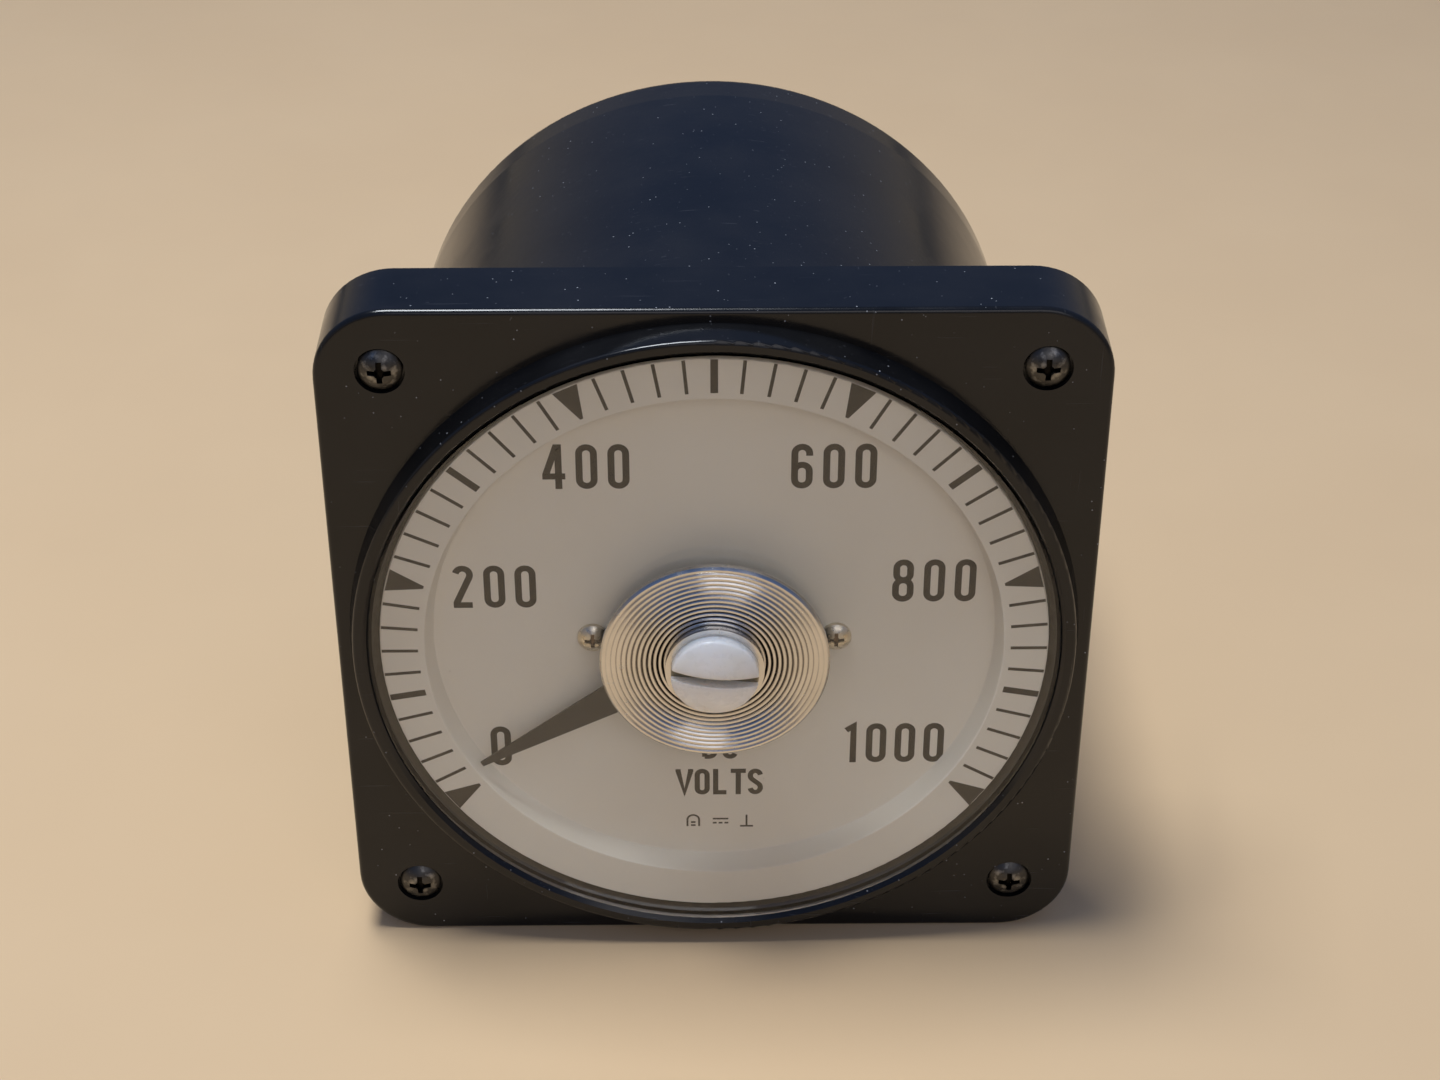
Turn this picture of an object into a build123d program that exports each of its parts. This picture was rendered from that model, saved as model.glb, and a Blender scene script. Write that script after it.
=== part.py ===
from build123d import *
import os
from math import asin, cos, degrees, pi, radians, sin, sqrt, tan

os.makedirs("parts", exist_ok=True)

# A square-faced direct-current voltmeter for a panel, with a long scale of 250 degrees.
# Origin: centre of the mounting plane, where the flange meets the panel.
# +Z is up, +X is to the right of a person reading the dial, and the dial faces -Y.
# Angles on the dial are counted clockwise from the top, as the reader sees them.

# ---- driving sizes, in millimetres and degrees ----
# front cover
bezel_side = 110.3
bezel_corner = 10.8
bezel_depth = 12.9
bezel_edge = 0.8
cover_wall = 3.0
skirt_wall = 3.0
skirt_relief = 0.4
ring_height = 4.0
ring_root_r = 53.2
ring_draft = 0.8
lip_r = 50.3
lip_depth = 1.2
lip_chamfer = 0.6
window_wall = 1.2

# window, its gasket and its retaining ring
window_sink = 0.4
window_thickness = 2.0
window_gap = 0.2
gasket_squeezed = 0.4
bush_r = 5.0
bush_height = 1.65
retainer_depth = 2.6
retainer_front_r = 49.8
retainer_rear_r = 49.1

# grooved disc on the window, round the adjuster
hub_r = 16.7
hub_rear_r = 14.6
hub_thickness = 1.85
hub_rim = 1.05
collar_r = 7.2
hub_edge = 0.35
hub_gap = 0.1
groove_count = 12
groove_pitch = 0.75
groove_share = 0.6
groove_depth_outer = 0.12
groove_depth_inner = 0.3

# zero adjuster
knob_r = 6.35
knob_height = 3.0
knob_dome = 1.4
knob_edge = 0.4
knob_gap = 0.2
knob_slot_width = 1.5
knob_slot_depth = 2.1
knob_slot_tilt = 5.5
adjuster_shaft_r = 2.5
adjuster_tip_r = 1.6
running_gap = 0.05
oring_wire_r = 0.45
crank_r = 5.2
crank_thickness = 0.6
crank_pin_r = 0.4
crank_throw = 4.4
arm_hub_r = 3.2
arm_width = 2.4
arm_overhang = 1.2
adjuster_swing = 30.0

# cover screws and their inserts
cover_screw_spacing = 91.66
cover_screw_r = 1.75
cover_head_r = 3.15
cover_head_height = 2.1
head_recess = 1.3
head_recess_gap = 0.35
screw_hole_gap = 0.2
cover_screw_length = 6.6
insert_wall = 0.9
insert_length = 4.3

# case
gasket_thickness = 1.0
nest_gap = 0.3
barrel_r = 50.0
barrel_wall = 3.0
barrel_length = 77.0
barrel_crease = 68.8
barrel_end_taper = 0.35
barrel_end_round = 2.5
rear_wall = 4.0
boss_count = 3
boss_width = 8.0
boss_inset = 1.2
boss_reach = 8.5
movement_screw_r = 1.5
movement_screw_length = 10.0

# mounting studs, 10-32
stud_spacing = 85.73
stud_r = 2.4
stud_neck_r = 2.6
stud_length = 19.0
stud_head_r = 3.8
stud_head_height = 2.5
stud_cover = 1.5
stud_point = 0.6

# dial
dial_rim_r = 48.7
dial_step_outer_r = 42.2
dial_step_inner_r = 41.2
dial_step = 3.45
dial_thickness = 0.6
dial_hole_r = 10.9
leg_clearance = 0.8
support_hole_r = 15.0
dial_clearance = 0.6
dial_screw_x = 17.85
dial_screw_r = 1.2
dial_head_r = 2.25
dial_head_height = 1.5
scale_half_sweep = 125.0

# movement
support_thickness = 1.0
support_r = 36.5
pillar_circle_r = 33.0
pillar_r = 2.5
pillar_count = 4
plate_thickness = 2.0
plate_r = 44.5
plate_gap = 3.6
pole_inner_r = 21.5
pole_wall = 5.5
core_inner_r = 9.0
core_outer_r = 18.0
core_thickness = 10.0
core_slit = 4.0
core_slit_angle = -146.0
core_pad_width = 14.0
core_pad_reach = 6.0
magnet_width = 20.0
magnet_length = 10.5
yoke_wall = 4.5
yoke_side_wall = 5.0
magnet_side_gap = 2.0
pole_screw_angles = (0.0, 105.0, -105.0)
frame_screw_r = 1.2
frame_head_r = 2.1
frame_head_height = 1.2
bridge_width = 7.0
bridge_thickness = 1.0
bridge_leg_r = 11.3
bridge_clearance = 2.9
jewel_screw_r = 1.5
jewel_r = 0.85
jewel_thickness = 0.6
jewel_dimple = 0.3

# moving coil, staffs, springs and pointer
rest_angle = -121.5
swing_back = 6.5
swing_on = 250.5
coil_clearance = 1.0
coil_end_clearance = 0.6
former_thickness = 0.4
former_width = 3.0
winding_thickness = 0.8
winding_width = 2.4
support_clearance = 0.65
foot_thickness = 0.3
foot_width = 3.0
foot_overlap = 3.5
staff_r = 0.75
pivot_r = 0.3
collet_r = 1.2
collet_start = 2.0
collet_length = 0.45
staff_shoulder = 2.55
pivot_length = 0.6
pivot_tip = 0.17
jewel_screw_start = 2.65
jewel_bore = 1.05
spring_thickness = 0.15
spring_width = 0.35
spring_pitch = 1.0
spring_half_turns = 8
spring_gap = 0.1
pointer_thickness = 0.3
pointer_root_rise = 0.9
pointer_root_r = 2.2
pointer_arm_width = 2.4
pointer_riser_r = 8.8
pointer_riser_run = 1.5
pointer_length = 41.0
pointer_base_width = 6.55
pointer_tip_width = 0.8
pointer_below_scale = 0.5
weight_r = 2.9
weight_circle_r = 5.3
stop_circle_r = 14.0
stop_r = 0.75
stop_gap = 0.4

# densities used to balance the moving parts, in g per cubic millimetre
aluminium_density = 2.70e-3
brass_density = 8.50e-3

# terminals and series resistors
terminal_spacing = 38.1
terminal_r = 3.175
terminal_neck_r = 3.5
terminal_point = 0.8
terminal_length = 20.0
terminal_head_side = 10.0
terminal_head_height = 3.0
terminal_nut_flats = 11.1
terminal_nut_height = 5.2
terminal_washer_r = 7.0
terminal_washer_thickness = 1.2
lug_thickness = 0.5
board_width = 62.0
board_height = 40.0
board_thickness = 1.6
board_y = 44.0
board_screw_x = 24.0
board_screw_z = 14.0
board_boss_r = 4.0
resistor_count = 4
resistor_r = 3.0
resistor_length = 22.0
resistor_pitch = 9.0
resistor_stand = 0.3
resistor_lead_r = 0.4
resistor_lead_reach = 3.5
lead_r = 0.6

# ---- depths along Y that follow from those sizes ----
bezel_front = -bezel_depth
cover_inner = bezel_front + cover_wall
ring_front = bezel_front - ring_height
ring_top_r = ring_root_r - ring_draft
lip_rear = ring_front + lip_depth
window_bore_r = ring_root_r - window_wall
window_front = ring_front + window_sink
window_rear = window_front + window_thickness
window_edge_r = lip_r - window_gap
window_flange_front = lip_rear + gasket_squeezed
hub_front = window_front - hub_thickness
bush_front = hub_front - bush_height
knob_rear = bush_front - knob_gap
knob_front = knob_rear - knob_height
recess_side = bezel_side - 2 * skirt_wall
recess_corner = bezel_corner - skirt_wall
flange_side = recess_side - 2 * nest_gap
flange_corner = recess_corner - nest_gap
flange_front = cover_inner + gasket_thickness
barrel_bore_r = barrel_r - barrel_wall
rear_wall_front = barrel_length - rear_wall
cover_seat = bezel_front + head_recess
insert_r = cover_screw_r + insert_wall
scale_y = window_rear + dial_clearance
dial_y = scale_y + dial_step
dial_rear = dial_y + dial_thickness
support_rear = dial_rear + support_thickness
coil_front = support_rear + support_clearance
core_front = coil_front + winding_thickness + former_thickness + coil_end_clearance
core_rear = core_front + core_thickness
coil_rear = core_rear + coil_end_clearance + former_thickness + winding_thickness
plate_front = coil_rear + plate_gap
plate_rear = plate_front + plate_thickness
pole_outer_r = pole_inner_r + pole_wall
pole_screw_circle_r = (pole_inner_r + pole_outer_r) / 2
core_pad_end = core_outer_r + core_pad_reach
magnet_end = core_pad_end + magnet_length
yoke_end = magnet_end + yoke_wall
yoke_half_width = magnet_width / 2 + magnet_side_gap + yoke_side_wall
bridge_front = coil_front - bridge_clearance - bridge_thickness
foot_front = core_front - bridge_thickness
pointer_root_rear = coil_front - pointer_root_rise
pointer_front = scale_y + pointer_below_scale
boss_circle_r = barrel_bore_r - boss_reach / 2 - boss_inset
board_points = [(-board_screw_x, board_screw_z), (board_screw_x, board_screw_z)]


def facing(y):
    """Plane across the instrument at depth y, as the reader sees it: local X right, local Y up."""
    return Plane.XZ.offset(-y)


def facing_along(y, angle):
    """The same plane turned so that its local Y points at a dial angle."""
    across = Vector(cos(radians(angle)), 0, -sin(radians(angle)))
    return Plane(origin=(0, y, 0), x_dir=across, z_dir=(0, -1, 0))


def side_on(angle):
    """Plane holding the movement's axis: local X points outwards at a dial angle, local Y along +Y."""
    out = Vector(sin(radians(angle)), 0, cos(radians(angle)))
    return Plane(origin=(0, 0, 0), x_dir=out, z_dir=out.cross(Vector(0, 1, 0)))


def at_angle(radius, angle):
    """A point on the dial, right and up from its centre."""
    return (radius * sin(radians(angle)), radius * cos(radians(angle)))


def in_depth(radius, angle, y):
    """A point in space at a dial radius, a dial angle and a depth."""
    return (radius * sin(radians(angle)), y, radius * cos(radians(angle)))


def corners(spacing, y):
    """Four corners of a square pattern at depth y."""
    half = spacing / 2
    return [(x, y, z) for x in (-half, half) for z in (-half, half)]


def turned(*outline):
    """A solid of revolution round the Y axis, from points of radius and depth."""
    with BuildPart() as piece:
        with BuildSketch(Plane.XY):
            with BuildLine():
                Polyline(*outline, close=True)
            make_face()
        revolve(axis=Axis.Y)
    return piece.part


def cross_screw(head_r, head_height, shank_r, shank_length):
    """Pan-head screw on the Y axis: its seat is at zero and its cross recess faces -Y."""
    edge = head_height * 0.4
    dome = head_height - edge
    dome_r = (head_r**2 + dome**2) / (2 * dome)
    shoulder = (head_r * 0.6, dome_r - sqrt(dome_r**2 - (head_r * 0.6)**2) - head_height)
    arm = head_r * 1.05
    with BuildPart() as screw:
        with BuildSketch(Plane.XY):
            with BuildLine():
                Polyline((0, -head_height), (0, shank_length), (shank_r, shank_length), (shank_r, 0),
                         (head_r, 0), (head_r, -edge))
                ThreePointArc((head_r, -edge), shoulder, (0, -head_height))
            make_face()
        revolve(axis=Axis.Y)
        with BuildSketch(facing(-head_height)):
            Rectangle(arm, arm * 0.24)
            Rectangle(arm * 0.24, arm)
            Circle(arm * 0.24)
        extrude(amount=-head_height * 0.6, mode=Mode.SUBTRACT)
    return screw.part


def plain_screw(head_r, head_height, shank_r, shank_length):
    """Cheese-head screw on the Y axis: its seat is at zero and its slot faces -Y."""
    with BuildPart() as screw:
        with BuildSketch(facing(0)):
            Circle(head_r)
        extrude(amount=head_height)
        with BuildSketch(facing(shank_length)):
            Circle(shank_r)
        extrude(amount=shank_length)
        with BuildSketch(facing(-head_height)):
            Rectangle(2.2 * head_r, head_r * 0.3)
        extrude(amount=-head_height * 0.4, mode=Mode.SUBTRACT)
    return screw.part


def hexagon_nut(flats, bore_r, height):
    """Hexagon nut on the Y axis, from zero to its height along +Y."""
    with BuildPart() as nut:
        with BuildSketch(facing(height)):
            RegularPolygon(flats / 2, 6, major_radius=False)
            Circle(bore_r, mode=Mode.SUBTRACT)
        extrude(amount=height)
    return nut.part


def hairspring(y, angle):
    """Flat spiral spring: half rings of growing radius, its outer end at a dial angle."""
    start_r = collet_r + spring_gap + spring_thickness / 2
    with BuildPart() as spring:
        with BuildSketch(facing_along(y + spring_width / 2, angle - 90)):
            for half_turn in range(spring_half_turns):
                radius = start_r + half_turn * spring_pitch / 2
                centre = (0, 0) if half_turn % 2 == 0 else (spring_pitch / 2, 0)
                turn_from = 0 if half_turn % 2 == 0 else 180
                inner = radius - spring_thickness / 2
                outer = radius + spring_thickness / 2
                with BuildLine():
                    inside = CenterArc(centre, inner, turn_from, 180)
                    outside = CenterArc(centre, outer, turn_from, 180)
                    Line(inside @ 0, outside @ 0)
                    Line(inside @ 1, outside @ 1)
                make_face()
        extrude(amount=spring_width)
    return spring.part


def staff(base_y, outward):
    """Staff cemented to one end of the coil: foot, collet for the spring, and a pivot. outward is -1 or 1."""
    def at(distance):
        return base_y + outward * distance
    tip = staff_shoulder + pivot_length
    with BuildPart() as piece:
        add(turned((0, at(0)), (staff_r, at(0)), (staff_r, at(collet_start)), (collet_r, at(collet_start)),
                   (collet_r, at(collet_start + collet_length)), (staff_r, at(collet_start + collet_length)),
                   (staff_r, at(staff_shoulder)), (pivot_r, at(staff_shoulder)), (pivot_r, at(tip)),
                   (0, at(tip + pivot_tip))))
        with BuildSketch(side_on(rest_angle)):
            with BuildLine():
                Polyline((-weight_circle_r - weight_r, at(0)), (coil_inner_r + foot_overlap, at(0)),
                         (coil_inner_r + foot_overlap, at(foot_thickness)),
                         (-weight_circle_r - weight_r, at(foot_thickness)), close=True)
            make_face()
        extrude(amount=foot_width / 2, both=True)
    return piece.part


def jewel_screw(base_y, outward, length):
    """Screw that holds one jewel: blind bore towards the coil, driver slot outwards."""
    start = base_y + outward * jewel_screw_start
    end = start + outward * length
    floor = start + outward * jewel_bore
    with BuildPart() as piece:
        add(turned((jewel_r, start), (jewel_screw_r, start), (jewel_screw_r, end), (0, end),
                   (0, floor), (jewel_r, floor)))
        with Locations((0, end, 0)):
            Box(3 * jewel_screw_r, 1.0, 0.5, mode=Mode.SUBTRACT)
    return piece.part


def jewel(base_y, outward):
    """Sapphire cup at the bottom of a jewel screw, with a cone for the pivot."""
    floor = base_y + outward * (jewel_screw_start + jewel_bore)
    mouth = floor - outward * jewel_thickness
    return turned((0, floor), (jewel_r, floor), (jewel_r, mouth), (2 * pivot_r, mouth),
                  (0, mouth + outward * jewel_dimple))


def wire(radius, *points):
    """Insulated wire through the given points, with the widest arcs its runs allow."""
    runs = [Vector(*b) - Vector(*a) for a, b in zip(points, points[1:])]
    bends = []
    for before, after in zip(runs, runs[1:]):
        half_turn = before.get_angle(after) / 2
        bends.append(0.45 * min(before.length, after.length) / tan(radians(half_turn)))
    with BuildPart() as piece:
        with BuildLine() as route:
            FilletPolyline(*points, radius=bends)
        with BuildSketch(Plane(origin=route.line @ 0, z_dir=route.line % 0)):
            Circle(radius)
        sweep()
    return piece.part


# The front cover is a black moulding: a square bezel with a raised ring round the window,
# a lip that holds the window in from the front, and a skirt that the case's flange nests in.
with BuildPart() as front_cover:
    with BuildSketch(facing(-skirt_relief)):
        RectangleRounded(bezel_side, bezel_side, bezel_corner)
    extrude(amount=bezel_depth - skirt_relief)
    fillet(front_cover.faces().sort_by(Axis.Y)[0].edges(), bezel_edge)
    add(turned((lip_r, cover_inner), (ring_root_r, cover_inner), (ring_root_r, bezel_front),
               (ring_top_r, ring_front), (lip_r, ring_front)))
    ring_edges = front_cover.edges().filter_by(GeomType.CIRCLE)
    fillet(ring_edges.filter_by(lambda e: abs(e.radius - ring_top_r) < 0.01), 0.6)
    add(turned((0, ring_front - 1), (lip_r + lip_chamfer, ring_front - 1),
               (lip_r + lip_chamfer, ring_front), (lip_r, ring_front + lip_chamfer),
               (lip_r, lip_rear), (window_bore_r, lip_rear),
               (window_bore_r, cover_inner + 1), (0, cover_inner + 1)), mode=Mode.SUBTRACT)
    with BuildSketch(facing(0)):
        RectangleRounded(recess_side, recess_side, recess_corner)
    extrude(amount=-cover_inner, mode=Mode.SUBTRACT)
    with BuildSketch(facing(cover_inner)):
        with GridLocations(cover_screw_spacing, cover_screw_spacing, 2, 2):
            Circle(cover_screw_r + screw_hole_gap)
    extrude(amount=cover_wall, mode=Mode.SUBTRACT)
    with BuildSketch(facing(cover_seat)):
        with GridLocations(cover_screw_spacing, cover_screw_spacing, 2, 2):
            Circle(cover_head_r + head_recess_gap)
    extrude(amount=head_recess, mode=Mode.SUBTRACT)
front_cover.part.label = "front_cover"
export_step(front_cover.part, "parts/front_cover.step")

# The window is one clear moulding: a disc with a thin flange at its edge and a bush for the adjuster.
oring_seat_r = adjuster_shaft_r + running_gap + 2 * oring_wire_r
with BuildPart() as window:
    add(turned((adjuster_shaft_r + running_gap, window_rear), (window_bore_r - window_gap, window_rear),
               (window_bore_r - window_gap, window_flange_front), (window_edge_r, window_flange_front),
               (window_edge_r, window_front), (bush_r, window_front), (bush_r, bush_front),
               (oring_seat_r, bush_front), (oring_seat_r, bush_front + 2 * oring_wire_r),
               (adjuster_shaft_r + running_gap, bush_front + 2 * oring_wire_r)))
window.part.label = "window"
export_step(window.part, "parts/window.step")

# A turned aluminium disc is cemented to the window round its bush. Its rim is undercut, a collar stands
# round the bush, and its grooves deepen towards the middle.
grooves = []
for groove in range(groove_count):
    crest = hub_r - hub_edge - groove_pitch * (groove + 1 - groove_share)
    depth = groove_depth_outer + (groove_depth_inner - groove_depth_outer) * groove / (groove_count - 1)
    grooves += [(crest, hub_front), (crest - groove_pitch * groove_share / 2, hub_front + depth),
                (crest - groove_pitch * groove_share, hub_front)]
with BuildPart() as hub_disc:
    add(turned((bush_r + hub_gap, window_front), (hub_rear_r, window_front), (hub_r, hub_front + hub_rim),
               (hub_r, hub_front + hub_edge), (hub_r - hub_edge, hub_front), *grooves, (collar_r, hub_front),
               (collar_r, bush_front), (bush_r + hub_gap, bush_front)))
hub_disc.part.label = "hub_disc"
export_step(hub_disc.part, "parts/hub_disc.step")

# A thin rubber gasket seals the window's flange against the lip.
with BuildPart() as window_gasket:
    add(turned((window_edge_r + window_gap, lip_rear), (window_bore_r - window_gap, lip_rear),
               (window_bore_r - window_gap, window_flange_front),
               (window_edge_r + window_gap, window_flange_front)))
window_gasket.part.label = "window_gasket"
export_step(window_gasket.part, "parts/window_gasket.step")

# A black ring pressed in from behind keeps the window against its gasket.
with BuildPart() as window_retainer:
    add(turned((retainer_front_r, window_rear), (window_bore_r, window_rear),
               (window_bore_r, window_rear + retainer_depth),
               (retainer_rear_r, window_rear + retainer_depth)))
window_retainer.part.label = "window_retainer"
export_step(window_retainer.part, "parts/window_retainer.step")

# The zero adjuster is a white domed and slotted knob whose shaft passes through the window's bush.
crank_front = window_rear + 3 * running_gap
crank_rear = crank_front + crank_thickness
dome_r = (knob_r**2 + knob_dome**2) / (2 * knob_dome)
dome_half_way = (knob_r / 2, knob_front + dome_r - sqrt(dome_r**2 - (knob_r / 2) ** 2))
with BuildPart() as zero_adjuster:
    with BuildSketch(Plane.XY):
        with BuildLine():
            ThreePointArc((0, knob_front), dome_half_way, (knob_r, knob_front + knob_dome))
            Polyline((knob_r, knob_front + knob_dome), (knob_r, knob_rear), (adjuster_shaft_r, knob_rear),
                     (adjuster_shaft_r, crank_front), (adjuster_tip_r, crank_front),
                     (adjuster_tip_r, crank_rear), (0, crank_rear), (0, knob_front))
        make_face()
    revolve(axis=Axis.Y)
    fillet(zero_adjuster.faces().sort_by(Axis.Y)[0].edges().sort_by(SortBy.LENGTH)[-1], knob_edge)
    with BuildSketch(facing_along(knob_front, knob_slot_tilt)):
        Rectangle(2 * knob_r + 1, knob_slot_width)
    extrude(amount=-knob_slot_depth, mode=Mode.SUBTRACT)
zero_adjuster.part.label = "zero_adjuster"
export_step(zero_adjuster.part, "parts/zero_adjuster.step")

# A rubber ring under the knob seals the shaft and gives it friction.
with BuildPart() as adjuster_oring:
    with BuildSketch(Plane.XY):
        with Locations((adjuster_shaft_r + running_gap + oring_wire_r, bush_front + oring_wire_r)):
            Circle(oring_wire_r - running_gap / 2)
    revolve(axis=Axis.Y)
adjuster_oring.part.label = "adjuster_oring"
export_step(adjuster_oring.part, "parts/adjuster_oring.step")

# A crank pressed on the shaft's end carries the pin that turns the zero arm.
arm_rear = bridge_front - running_gap
arm_thickness = 0.3
with BuildPart() as adjuster_crank:
    add(turned((adjuster_tip_r, crank_front), (crank_r, crank_front), (crank_r, crank_rear),
               (adjuster_tip_r, crank_rear)))
    with BuildSketch(facing(arm_rear + 2 * running_gap)):
        with Locations((0, crank_throw)):
            Circle(crank_pin_r)
    extrude(amount=arm_rear + 2 * running_gap - crank_rear)
adjuster_crank.part.label = "adjuster_crank"
export_step(adjuster_crank.part, "parts/adjuster_crank.step")

# The cover gasket is a square rubber frame between the cover and the case's flange.
with BuildPart() as cover_gasket:
    with BuildSketch(facing(flange_front)):
        RectangleRounded(flange_side, flange_side, flange_corner)
        Circle(barrel_bore_r, mode=Mode.SUBTRACT)
        with GridLocations(cover_screw_spacing, cover_screw_spacing, 2, 2):
            Circle(cover_screw_r + screw_hole_gap, mode=Mode.SUBTRACT)
    extrude(amount=gasket_thickness)
cover_gasket.part.label = "cover_gasket"
export_step(cover_gasket.part, "parts/cover_gasket.step")

# Four blackened pan-head screws hold the cover on.
with BuildPart() as cover_screws:
    with Locations(*corners(cover_screw_spacing, cover_seat)):
        add(cross_screw(cover_head_r, cover_head_height, cover_screw_r, cover_screw_length))
cover_screws.part.label = "cover_screws"
export_step(cover_screws.part, "parts/cover_screws.step")

# Brass inserts moulded into the flange take the cover screws.
with BuildPart() as screw_inserts:
    with Locations(*corners(cover_screw_spacing, 0)):
        add(turned((cover_screw_r, flange_front), (insert_r, flange_front),
                   (insert_r, flange_front + insert_length), (cover_screw_r, flange_front + insert_length)))
screw_inserts.part.label = "screw_inserts"
export_step(screw_inserts.part, "parts/screw_inserts.step")

# The case is a deep black moulding: a square flange and a round barrel, closed behind.
# Three ribs inside carry the movement and two pillars carry the resistor board.
with BuildPart() as case:
    with BuildSketch(facing(0)):
        RectangleRounded(flange_side, flange_side, flange_corner)
    extrude(amount=-flange_front)
    add(turned((0, -1), (barrel_r, -1), (barrel_r, barrel_crease),
               (barrel_r - barrel_end_taper, barrel_length), (0, barrel_length)))
    fillet(case.faces().sort_by(Axis.Y)[-1].edges(), barrel_end_round)
    with BuildSketch(facing(rear_wall_front)):
        Circle(barrel_bore_r)
    extrude(amount=rear_wall_front - flange_front, mode=Mode.SUBTRACT)
    with BuildSketch(facing(rear_wall_front)):
        for rib in range(boss_count):
            rib_angle = rib * 360 / boss_count
            with Locations(Pos(*at_angle(barrel_bore_r - boss_reach / 2 + 0.5, rib_angle)) * Rot(0, 0, -rib_angle)):
                Rectangle(boss_width, boss_reach + 1)
    extrude(amount=rear_wall_front - plate_rear)
    with BuildSketch(facing(rear_wall_front)):
        with Locations(*board_points):
            Circle(board_boss_r)
    extrude(amount=rear_wall_front - board_y - board_thickness)
    with BuildSketch(facing(plate_rear + movement_screw_length)):
        with Locations(*[at_angle(boss_circle_r, n * 360 / boss_count) for n in range(boss_count)]):
            Circle(movement_screw_r)
    extrude(amount=movement_screw_length, mode=Mode.SUBTRACT)
    with BuildSketch(facing(board_y + board_thickness + 8.0)):
        with Locations(*board_points):
            Circle(frame_screw_r)
    extrude(amount=8.0, mode=Mode.SUBTRACT)
    with BuildSketch(facing(barrel_length)):
        with GridLocations(terminal_spacing, 1, 2, 1):
            Circle(terminal_neck_r)
    extrude(amount=rear_wall, mode=Mode.SUBTRACT)
    with BuildSketch(facing(flange_front + insert_length)):
        with GridLocations(cover_screw_spacing, cover_screw_spacing, 2, 2):
            Circle(insert_r)
    extrude(amount=insert_length, mode=Mode.SUBTRACT)
    with BuildSketch(facing(0)):
        with GridLocations(stud_spacing, stud_spacing, 2, 2):
            Circle(stud_neck_r)
    extrude(amount=stud_cover, mode=Mode.SUBTRACT)
    with BuildSketch(facing(-stud_cover)):
        with GridLocations(stud_spacing, stud_spacing, 2, 2):
            Circle(stud_head_r)
    extrude(amount=stud_head_height, mode=Mode.SUBTRACT)
case.part.label = "case"
export_step(case.part, "parts/case.step")

# Four studs moulded into the flange hold the instrument to its panel.
with BuildPart() as mounting_studs:
    with Locations(*corners(stud_spacing, 0)):
        add(turned((0, -stud_cover - stud_head_height), (stud_head_r, -stud_cover - stud_head_height),
                   (stud_head_r, -stud_cover), (stud_neck_r, -stud_cover), (stud_neck_r, 0), (stud_r, 0),
                   (stud_r, stud_length - stud_point), (stud_r - stud_point, stud_length), (0, stud_length)))
mounting_studs.part.label = "mounting_studs"
export_step(mounting_studs.part, "parts/mounting_studs.step")

# The dial is a pressed aluminium dish: its scale stands on a raised outer ring, level with the pointer.
# Its hole has a slot below, for the bridge's leg.
leg_slot_end = bridge_leg_r + bridge_thickness + leg_clearance
with BuildPart() as dial_plate:
    with BuildSketch(Plane.XY):
        with BuildLine():
            FilletPolyline(
                (dial_hole_r, dial_y), (dial_step_inner_r, dial_y), (dial_step_outer_r, scale_y),
                (dial_rim_r, scale_y), (dial_rim_r, scale_y + 2 * dial_thickness),
                (dial_rim_r - dial_thickness, scale_y + 2 * dial_thickness),
                (dial_rim_r - dial_thickness, scale_y + dial_thickness),
                (dial_step_outer_r + dial_thickness * 0.75, scale_y + dial_thickness),
                (dial_step_inner_r + dial_thickness * 0.75, dial_rear), (dial_hole_r, dial_rear),
                radius=0.22, close=True)
        make_face()
    revolve(axis=Axis.Y)
    with BuildSketch(facing(dial_rear)):
        with GridLocations(2 * dial_screw_x, 1, 2, 1):
            Circle(dial_screw_r + screw_hole_gap)
        with Locations((0, -leg_slot_end / 2)):
            Rectangle(bridge_width + 2 * leg_clearance, leg_slot_end)
    extrude(amount=dial_thickness, mode=Mode.SUBTRACT)
dial_plate.part.label = "dial_plate"
export_step(dial_plate.part, "parts/dial_plate.step")

# Two small pan-head screws hold the dial.
with BuildPart() as dial_screws:
    with Locations((-dial_screw_x, dial_y, 0), (dial_screw_x, dial_y, 0)):
        add(cross_screw(dial_head_r, dial_head_height, dial_screw_r, dial_thickness + support_thickness))
dial_screws.part.label = "dial_screws"
export_step(dial_screws.part, "parts/dial_screws.step")

# The dial support is a flat ring that stands on four pillars, clear of the coil's path.
pillar_angles = [45 + n * 360 / pillar_count for n in range(pillar_count)]
pillar_points = [at_angle(pillar_circle_r, angle) for angle in pillar_angles]
with BuildPart() as dial_support:
    with BuildSketch(facing(support_rear)):
        Circle(support_r)
        Circle(support_hole_r, mode=Mode.SUBTRACT)
        with GridLocations(2 * dial_screw_x, 1, 2, 1):
            Circle(dial_screw_r, mode=Mode.SUBTRACT)
    extrude(amount=support_thickness)
    for angle in pillar_angles:
        with Locations(in_depth(pillar_circle_r, angle, 0)):
            add(turned((0, dial_rear), (frame_head_r, dial_rear), (frame_screw_r, support_rear),
                       (0, support_rear)), mode=Mode.SUBTRACT)
dial_support.part.label = "dial_support"
export_step(dial_support.part, "parts/dial_support.step")

# Flat-head screws hold the support to its pillars.
pillar_screw_length = 5.0
with BuildPart() as pillar_screws:
    with Locations(*[in_depth(pillar_circle_r, angle, 0) for angle in pillar_angles]):
        add(turned((0, dial_rear), (frame_head_r, dial_rear), (frame_screw_r, support_rear),
                   (frame_screw_r, dial_rear + pillar_screw_length), (0, dial_rear + pillar_screw_length)))
pillar_screws.part.label = "pillar_screws"
export_step(pillar_screws.part, "parts/pillar_screws.step")

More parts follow.
